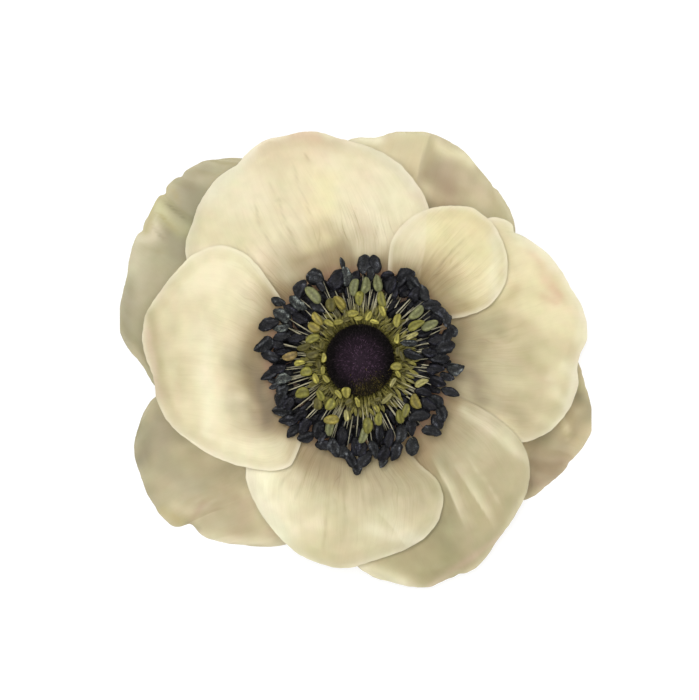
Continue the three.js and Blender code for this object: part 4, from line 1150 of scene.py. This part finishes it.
def capped_faces(rings, sides):
    """Faces of a stack of rings with a point at each end, first point first and last point last."""
    faces = []
    for j in range(sides):
        k = (j + 1) % sides
        faces.append((0, 1 + k, 1 + j))
        for i in range(rings - 1):
            a = 1 + i * sides
            faces.append((a + j, a + k, a + sides + k, a + sides + j))
        last = 1 + (rings - 1) * sides
        faces.append((last + j, last + k, last + sides))
    return faces


def tube(path, radii, sides):
    """A round tube along a path, closed by a point at each end."""
    path = np.asarray(path, float)
    tangent = unit(np.gradient(path, axis=0))
    up = np.array([0, 0, 1.0]) if abs(tangent[0][2]) < 0.9 else np.array([1.0, 0, 0])
    side = unit(np.cross(tangent, up))
    over = np.cross(side, tangent)
    turn = circle(sides)[:, None]
    rows = [p + r * (np.cos(turn) * a + np.sin(turn) * b) for p, r, a, b in zip(path, radii, side, over)]
    start = (path[0] - tangent[0] * radii[0])[None]
    end = (path[-1] + tangent[-1] * radii[-1])[None]
    return np.concatenate([start, *rows, end]), capped_faces(len(path), sides)


def bowed(start, control, end, steps):
    f = np.linspace(0, 1, steps)[:, None]
    return (1 - f) ** 2 * start + 2 * f * (1 - f) * control + f**2 * end


def hair(root, control, tip, radii):
    return tube(bowed(root, control, tip, len(radii)), radii, HAIR_SIDES)


def ring(radius, height, sides):
    turn = circle(sides)
    return np.stack([radius * np.cos(turn), radius * np.sin(turn), np.full(sides, height)], -1)


def lathe(profile, sides):
    """A closed turned solid from a profile of (radius, height) that starts and ends on the axis."""
    rows = [ring(r, z, sides) for r, z in profile[1:-1]]
    start = np.array([[0, 0, profile[0][1]]])
    end = np.array([[0, 0, profile[-1][1]]])
    return np.concatenate([start, *rows, end]), capped_faces(len(rows), sides)


# Stamens
def seen_stamens(kind, anthers):
    """The stamens of a table, layered so that neighbours lie over each other."""
    places = []
    for number, (x, y, heading, length, width, tone) in enumerate(anthers):
        layer = ((7 * number) % 5 - 2) / 2
        out = math.hypot(x, y) - kind["radius"]
        height = kind["height"] - kind["slope"] * out + kind["rise"] * layer
        places.append(stamen(kind, number, (x, y, height), math.radians(heading), length, width, tone))
    return places


def hidden_stamens(kind, crown, rng):
    places = []
    for number in range(crown["count"]):
        angle = 2 * math.pi * (number + rng.uniform(-0.3, 0.3)) / crown["count"]
        radius = crown["radius"] + rng.uniform(-1, 1) * crown["spread"]
        height = crown["height"] + rng.uniform(-1, 1) * crown["rise"]
        size = rng.uniform(0.8, 1.1)
        middle = (radius * math.cos(angle), radius * math.sin(angle), height)
        places.append(stamen(kind, number, middle, angle + rng.uniform(-0.6, 0.6),
                             crown["length"] * size, crown["width"] * size, crown["tone"]))
    return places


def stamen(kind, number, middle, heading, length, width, tone):
    """One stamen: the anther's long side points away from the axis, and its root is on the disc."""
    middle = np.array(middle, float)
    angle = math.atan2(middle[1], middle[0])
    if math.cos(heading - angle) < 0:
        heading += math.pi
    disc = kind["disc"]
    radius = disc["radius"] - FILAMENT_ROOT_DEPTH
    level = disc["bottom"] + disc["thickness"] * (number % 3 + 1) / 4
    root = np.array([radius * math.cos(angle), radius * math.sin(angle), level])
    return dict(middle=middle, root=root, heading=heading, length=length, width=width, tone=tone)


def crests(points, size, rng, waves=6):
    """Sharp-crested seeded noise, about -1 to 1, for wrinkled skin."""
    total = np.zeros(len(points))
    for _ in range(waves):
        along = points @ unit(rng.normal(size=3)) / (size * rng.uniform(0.7, 1.4))
        total += 1 - 2 * np.abs(np.sin(math.pi * along + rng.uniform(0, math.pi)))
    return total / math.sqrt(waves) + 0.6


def anther_points(length, width, depth, wrinkle, pointed, detail, rng):
    """A two-lobed pod along X, grooved above and below, wrinkled, tapered and a little bent. Also gives,
    0 to 1 at each point, the painted shade in its grooves, on its flanks and in its creases, and the
    painted highlights on its ridges and in stripes along its lobes."""
    rings, sides = detail
    turn = circle(sides)
    turn = turn - LOBE_PINCH * np.sin(2 * turn)
    bend_y, bend_z = rng.uniform(-BEND, BEND, 2)
    taper = rng.uniform(*TAPER)
    points, axis, grooves, flank_shades, stripe_highlights = [], [], [], [], []
    for u in [-1, *np.cos(np.linspace(math.pi, 0, rings + 2)[1:-1]), 1]:
        girth = (1 - abs(u) ** BLUNTNESS) ** pointed * (1 + taper * u)
        around = turn if abs(u) < 1 else turn[:1]
        groove = np.exp(-((np.cos(around) / GROOVE_WIDTH) ** 2)) * (1 - 0.5 * u * u)
        middle = np.array([u * length / 2, bend_y * width * u * u, bend_z * depth * u * u])
        offset = np.stack([np.zeros(len(around)), width / 2 * girth * np.cos(around),
                           depth / 2 * girth * np.sin(around) * (1 - GROOVE_DEPTH * groove)], -1)
        points.append(middle + offset)
        axis.append(np.broadcast_to(middle, offset.shape))
        grooves.append(groove)
        # painted shade on the flanks and a stripe of painted highlight along each lobe
        flank_shades.append(np.maximum(np.abs(np.cos(around)), abs(u)) ** 6)
        beyond = (np.abs(np.cos(around)) - HIGHLIGHT_STRIPE_PLACE) / HIGHLIGHT_STRIPE_WIDTH
        stripe_highlights.append(np.exp(-(beyond ** 2)) * (1 - u * u))
    points, axis, groove = np.concatenate(points), np.concatenate(axis), np.concatenate(grooves)
    skin = points * np.array([WRINKLE_STRETCH, 1, 1])
    crease = sum(size * crests(skin, span, rng) for size, span in WRINKLES)
    points = axis + (points - axis) * (1 + wrinkle * crease)[:, None]
    # painted shade in the groove, on the flanks and in the creases, and painted highlights on the ridges
    # and in stripes along the lobes
    groove_shade = np.clip(0.8 * groove + 0.6 * np.concatenate(flank_shades) - wrinkle * crease, 0, 1)
    ridge_highlight = np.maximum(np.clip(crease, 0, 1) ** 3, np.concatenate(stripe_highlights) * np.clip(0.45 + crease, 0, 1))
    return points, capped_faces(rings, sides), groove_shade, ridge_highlight


def turned(points, heading, droop, roll):
    """Points rolled about X, tipped down and turned to the heading."""
    points = points.copy()
    for (a, b), angle in (((1, 2), roll), ((2, 0), droop), ((0, 1), heading)):
        c, s = math.cos(angle), math.sin(angle)
        first, second = points[:, a].copy(), points[:, b].copy()
        points[:, a] = first * c - second * s
        points[:, b] = first * s + second * c
    return points


def disc_profile(radius, bottom, thickness):
    top = bottom + thickness
    inner, corner = radius - DISC_EDGE, DISC_EDGE / 3
    return [(0, bottom), (inner, bottom), (radius - corner, bottom + corner), (radius, bottom + DISC_EDGE),
            (radius, top - DISC_EDGE), (radius - corner, top - corner), (inner, top), (0, top)]


def add_anther(batch, place, kind, color, detail, rng):
    depth = place["width"] * rng.uniform(*ANTHER_DEPTH)
    points, faces, groove_shade, ridge_highlight = anther_points(
        place["length"] * ANTHER_STRETCH, place["width"] * kind["bulk"], depth, kind["wrinkle"],
        kind["pointed"], detail, rng)
    droop = math.radians(rng.uniform(*ANTHER_DROOP))
    roll = math.radians(rng.uniform(*ANTHER_ROLL))
    points = turned(points, place["heading"], droop, roll) + place["middle"]
    # the painted shade darkens and the painted highlights lighten the anther's colour
    shade = (1 - kind["groove_shade"] * groove_shade) * (1 + kind["gleam"] * ridge_highlight)
    batch.add(points, faces, color * shade[:, None])


def add_filament(batch, place, kind, rng):
    """A thin stalk that rises from the disc and bends over to the near end of its anther."""
    ahead = np.array([math.cos(place["heading"]), math.sin(place["heading"]), 0])
    tip = place["middle"] - ahead * place["length"] * FILAMENT_HOLD
    control = place["root"] + (tip - place["root"]) * kind["reach"]
    control[:2] += rng.uniform(-FILAMENT_SWAY, FILAMENT_SWAY, 2)
    control[2] = tip[2] + kind["crest"] * rng.uniform(*FILAMENT_HEIGHTS)
    path = bowed(place["root"], control, tip, FILAMENT_STEPS)
    share = np.linspace(0, 1, FILAMENT_STEPS)
    radii = FILAMENT_RADIUS * (FILAMENT_ROOT + (FILAMENT_TIP - FILAMENT_ROOT) * share)
    radii = radii * rng.uniform(*FILAMENT_SIZES)
    far_share = smoothstep(radius_of(path), *FILAMENT_RADII)
    shades = mix(linear(FILAMENT_NEAR), linear(FILAMENT_FAR), far_share)
    shades = shades * rng.uniform(*FILAMENT_SHADES)
    shades = shades * (1 - 0.75 * smoothstep(share, 0.75, 1))[:, None]
    rows = np.repeat(shades, FILAMENT_SIDES, axis=0)
    batch.add(*tube(path, radii, FILAMENT_SIDES), np.concatenate([shades[:1], rows, shades[-1:]]))


def make_stamens(name, kind, anthers, crown, tone_color, seed):
    rng = np.random.RandomState(seed)
    pods, stalks = Batch(), Batch()
    stalks.add(*lathe(disc_profile(**kind["disc"]), DISC_SIDES), linear(FILAMENT_NEAR))
    for place in seen_stamens(kind, anthers):
        color = tone_color(place["tone"]) * rng.uniform(*SEEN_SHADES)
        add_anther(pods, place, kind, color, SEEN_DETAIL, rng)
        add_filament(stalks, place, kind, rng)
    for place in hidden_stamens(kind, crown, rng):
        # painted shade of the deep crown for the dark ones, a little painted light for the green ones
        color = tone_color(place["tone"]) * crown["shade_scale"] * rng.uniform(*HIDDEN_SHADES)
        add_anther(pods, place, kind, color, HIDDEN_DETAIL, rng)
        add_filament(stalks, place, kind, rng)
    pod_piece = pods.build(f"anthers_{name}", materials["anther_" + name])
    stalk_piece = stalks.build(f"filaments_{name}", materials["filament"])
    for piece in (pod_piece, stalk_piece):
        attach(piece, "root")
    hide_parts(f"stamens_{name}")


def dark_tone(share):
    return mix(linear(BLUE_BLACK), linear(SLATE), share)


def green_tone(word):
    return linear(ANTHER_TONES[word])


# Head
def spiral(count, span):
    """Directions spread evenly over the top of a sphere, down to span below its top."""
    n = np.arange(count)
    z = 1 - span * (n + 0.5) / count
    flat = np.sqrt(1 - z * z)
    return np.stack([flat * np.cos(n * GOLDEN), flat * np.sin(n * GOLDEN), z], -1)


def head_color(out):
    """Near black at the rim and dark purple on top, the lighter top partly a painted sheen, and dusty olive
    low down on the sides and on one patch.
    """
    color = mix(linear(HEAD_RIM), linear(HEAD_TOP_AND_SHEEN), smoothstep(out[:, 2], 0.55, 1.0))
    low = 0.6 * (1 - smoothstep(out[:, 2], -0.3, 0.4))
    dusty = 0.5 * near_line(out[:, :2], 0.45, -0.62, 0.05, -0.8, 0.22)
    return mix(color, linear(HEAD_OLIVE), np.maximum(low, dusty))


def head_surface(out, swell):
    """Points of the head in these directions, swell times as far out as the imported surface."""
    low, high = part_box("pistil_head")
    half = np.array([(high.x - low.x) * HEAD_WIDEN, high.y - low.y]) / 2 / MM
    center = np.array([(low.x + high.x) / 2 - AXIS_X, (low.y + high.y) / 2 - AXIS_Y]) / MM
    share = (np.maximum(out[:, 2], HEAD_CUT) * swell - HEAD_CUT) / (1 - HEAD_CUT)
    height = (low.z + (high.z - low.z) * np.maximum(share, 0)) / MM
    return np.concatenate([center + out[:, :2] * half * swell[:, None], height[:, None]], -1)


def make_head():
    angles = np.linspace(math.pi, 0, HEAD_RINGS + 2)[1:-1]
    rings = [ring(math.sin(a), math.cos(a), HEAD_SIDES) for a in angles]
    out = np.concatenate([[[0, 0, -1]], *rings, [[0, 0, 1]]])
    nearest = np.min(np.linalg.norm(out[:, None] - spiral(BUMPS, BUMPS_SPAN)[None], axis=-1), axis=1)
    swell = 0.99 + 0.03 * smoothstep(BUMP_REACH - nearest, 0, BUMP_REACH)
    dome = Batch()
    dome.add(head_surface(out, swell), capped_faces(HEAD_RINGS, HEAD_SIDES), head_color(out) * DOME_DIM)
    piece = dome.build("head_dome", materials["head"])
    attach(piece, "root")
    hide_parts("pistil_head")


def make_head_hairs():
    """Short hairs that lean outward on top and upward on the sides, a few of them paler or dusty."""
    rng = np.random.RandomState(HEAD_SEED)
    outs = unit(spiral(HEAD_HAIRS, HEAD_HAIRS_SPAN) + rng.uniform(-0.02, 0.02, (HEAD_HAIRS, 3)))
    roots = head_surface(outs, np.full(HEAD_HAIRS, HEAD_HAIR_ROOTS))
    colors = head_color(outs) * (0.4 + 2.6 * rng.uniform(0, 1, HEAD_HAIRS) ** 2.5)[:, None]
    patch = near_line(outs[:, :2], 0.5, -0.6, 0.1, -0.8, 0.3)
    colors[rng.uniform(0, 1, HEAD_HAIRS) < 0.35 * patch] = linear(DUSTY_HAIR)
    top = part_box("pistil_head")[1].z / MM
    hairs = Batch()
    for root, out, color in zip(roots, outs, colors):
        on_top = max(out[2], 0)
        outward = np.array([out[0], out[1], 0]) / max(math.hypot(out[0], out[1]), 0.15)
        direction = out + np.array([0, 0, 0.5]) * (1 - out[2]) + rng.uniform(-0.25, 0.25, 3)
        direction = unit(direction + 0.8 * on_top ** 2 * outward)
        tip = root + direction * rng.uniform(0.3, 0.5) * (0.45 + 0.55 * on_top)
        tip[2] = min(tip[2], top)
        control = (root + tip) / 2 + rng.uniform(-0.06, 0.06, 3)
        hairs.add(*hair(root, control, tip, HEAD_HAIR_RADII), color)
    piece = hairs.build("head_hairs", materials["hair"])
    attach(piece, "root")


# Stalk and receptacle
def flare_radius(height):
    """The radius of the flare from the stub to the column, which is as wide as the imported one."""
    column = (stalk_high.x - stalk_low.x) / 2 / MM
    share = smoothstep(height, STUB_HEIGHT, FLARE_TOP)
    return STUB_RADIUS + (column - STUB_RADIUS) * share


def levels(low, high, first, count):
    """Heights up to high, the first one this part of the way up from low."""
    return low + (high - low) * np.linspace(first, 1, count)


def make_stalk():
    column = flare_radius(FLARE_TOP)
    top = stalk_high.z / MM
    profile = [(0, 0.12), (STUB_RADIUS * 0.35, 0.10), (STUB_RADIUS * 0.7, 0.03), (STUB_RADIUS - 0.25, 0.0),
               (STUB_RADIUS - 0.08, 0.08), (STUB_RADIUS, STUB_EDGE)]
    profile += [(STUB_RADIUS, z) for z in levels(STUB_EDGE, STUB_HEIGHT, 0.1, 10)]
    profile += [(flare_radius(z), z) for z in levels(STUB_HEIGHT, FLARE_TOP, 0.05, 16)]
    profile += [(column, z) for z in levels(FLARE_TOP, top - 0.3, 0.1, 12)]
    profile += [(column - 0.1, top - 0.1), (column - 0.3, top), (0, top)]
    points, faces = lathe(profile, STALK_SIDES)
    turn = np.arctan2(points[:, 1], points[:, 0])
    radius = radius_of(points)
    height = points[:, 2]
    ribs = (1 - np.cos(STALK_RIBS * turn)) * (radius > 1.5) * (1 - smoothstep(height, 6, 8))
    points[:, :2] *= (1 - STALK_RIB_DEPTH * ribs)[:, None]
    color = mix(linear(STALK_GREEN), linear(COLUMN_GREEN), smoothstep(height, 3, 8))
    cut = (height < 0.2) & (radius < 2.2)
    color[cut] = mix(linear(CUT_MIDDLE), linear(CUT_EDGE), smoothstep(radius[cut], 0.4, 1.6))
    stalk = Batch()
    stalk.add(points, faces, color)
    piece = stalk.build("stalk", materials["stalk"])
    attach(piece, "root")
    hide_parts("stalk_receptacle")


def make_down():
    rng = np.random.RandomState(STALK_SEED)
    hairs = Batch()
    for _ in range(DOWN_HAIRS):
        angle = rng.uniform(0, 2 * math.pi)
        height = rng.uniform(*DOWN_HEIGHTS)
        out = np.array([math.cos(angle), math.sin(angle), 0])
        root = out * (flare_radius(height) - 0.06) + np.array([0, 0, height])
        tip = root + out * rng.uniform(0.3, 0.6) + rng.uniform(-0.2, 0.2, 3)
        control = (root + tip) / 2 + np.array([0, 0, 0.08])
        hairs.add(*hair(root, control, tip, DOWN_RADII), linear(DOWN_COLOR))
    piece = hairs.build("stalk_hairs", materials["filament"])
    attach(piece, "root")


# Floor, light and camera
def make_stage():
    h = FLOOR_SIZE_M / 2
    mesh = bpy.data.meshes.new("floor")
    mesh.from_pydata([(-h, -h, 0), (h, -h, 0), (h, h, 0), (-h, h, 0)], [], [(0, 1, 2, 3)])
    floor = bpy.data.objects.new("floor", mesh)
    bpy.context.scene.collection.objects.link(floor)
    material, _, shader = new_material("floor", 0.9)
    shader.inputs["Base Color"].default_value = FLOOR_GREY
    shader.inputs["Emission Color"].default_value = (1, 1, 1, 1)
    shader.inputs["Emission Strength"].default_value = FLOOR_GLOW
    mesh.materials.append(material)

    world = bpy.data.worlds.new("studio")
    bpy.context.scene.world = world
    world.use_nodes = True
    sky = world.node_tree.nodes["Background"]
    sky.inputs["Color"].default_value = (1, 1, 1, 1)
    sky.inputs["Strength"].default_value = SKY_STRENGTH
    for name, values in LIGHTS.items():
        add_light(name, **values)
    bpy.context.scene.view_settings.view_transform = "Standard"


def add_light(name, place, size, power):
    light = bpy.data.lights.new(name, "AREA")
    light.shape = "DISK"
    light.size = size
    light.energy = power
    light.color = LIGHT_COLOR
    lamp = bpy.data.objects.new(name, light)
    lamp.location = place
    lamp.rotation_mode = "QUATERNION"
    lamp.rotation_quaternion = (-Vector(place)).to_track_quat("-Z", "Y")
    bpy.context.scene.collection.objects.link(lamp)


def make_camera():
    data = bpy.data.cameras.new("camera")
    data.lens = LENS_MM
    data.sensor_width = SENSOR_MM
    long_side = max(FRAME_WIDTH, FRAME_HEIGHT) * PIXEL_MM
    distance = LENS_MM / SENSOR_MM * long_side
    camera = bpy.data.objects.new("camera", data)
    x = (FRAME_WIDTH / 2 - AXIS_PIXEL_X) * PIXEL_MM
    y = (AXIS_PIXEL_Y - FRAME_HEIGHT / 2) * PIXEL_MM
    camera.location = (AXIS_X + x * MM, AXIS_Y + y * MM, (PETAL_PLANE_MM + distance) * MM)
    data.clip_end = CAMERA_END_M
    bpy.context.scene.collection.objects.link(camera)
    bpy.context.scene.camera = camera


materials = {name: speckled_material(name, **values) for name, values in SPECKLED.items()}
materials["petal"] = petal_material()
for number, (petal_name, petal) in enumerate(PETALS.items()):
    petal["seed"] = 20 + 10 * number
    make_petal(petal_name, petal, materials["petal"])
make_stamens("dark", DARK_KIND, DARK_ANTHERS, DARK_HIDDEN, dark_tone, DARK_SEED)
make_stamens("green", GREEN_KIND, GREEN_ANTHERS, GREEN_HIDDEN, green_tone, GREEN_SEED)
make_head()
make_head_hairs()
make_stalk()
make_down()
make_stage()
make_camera()
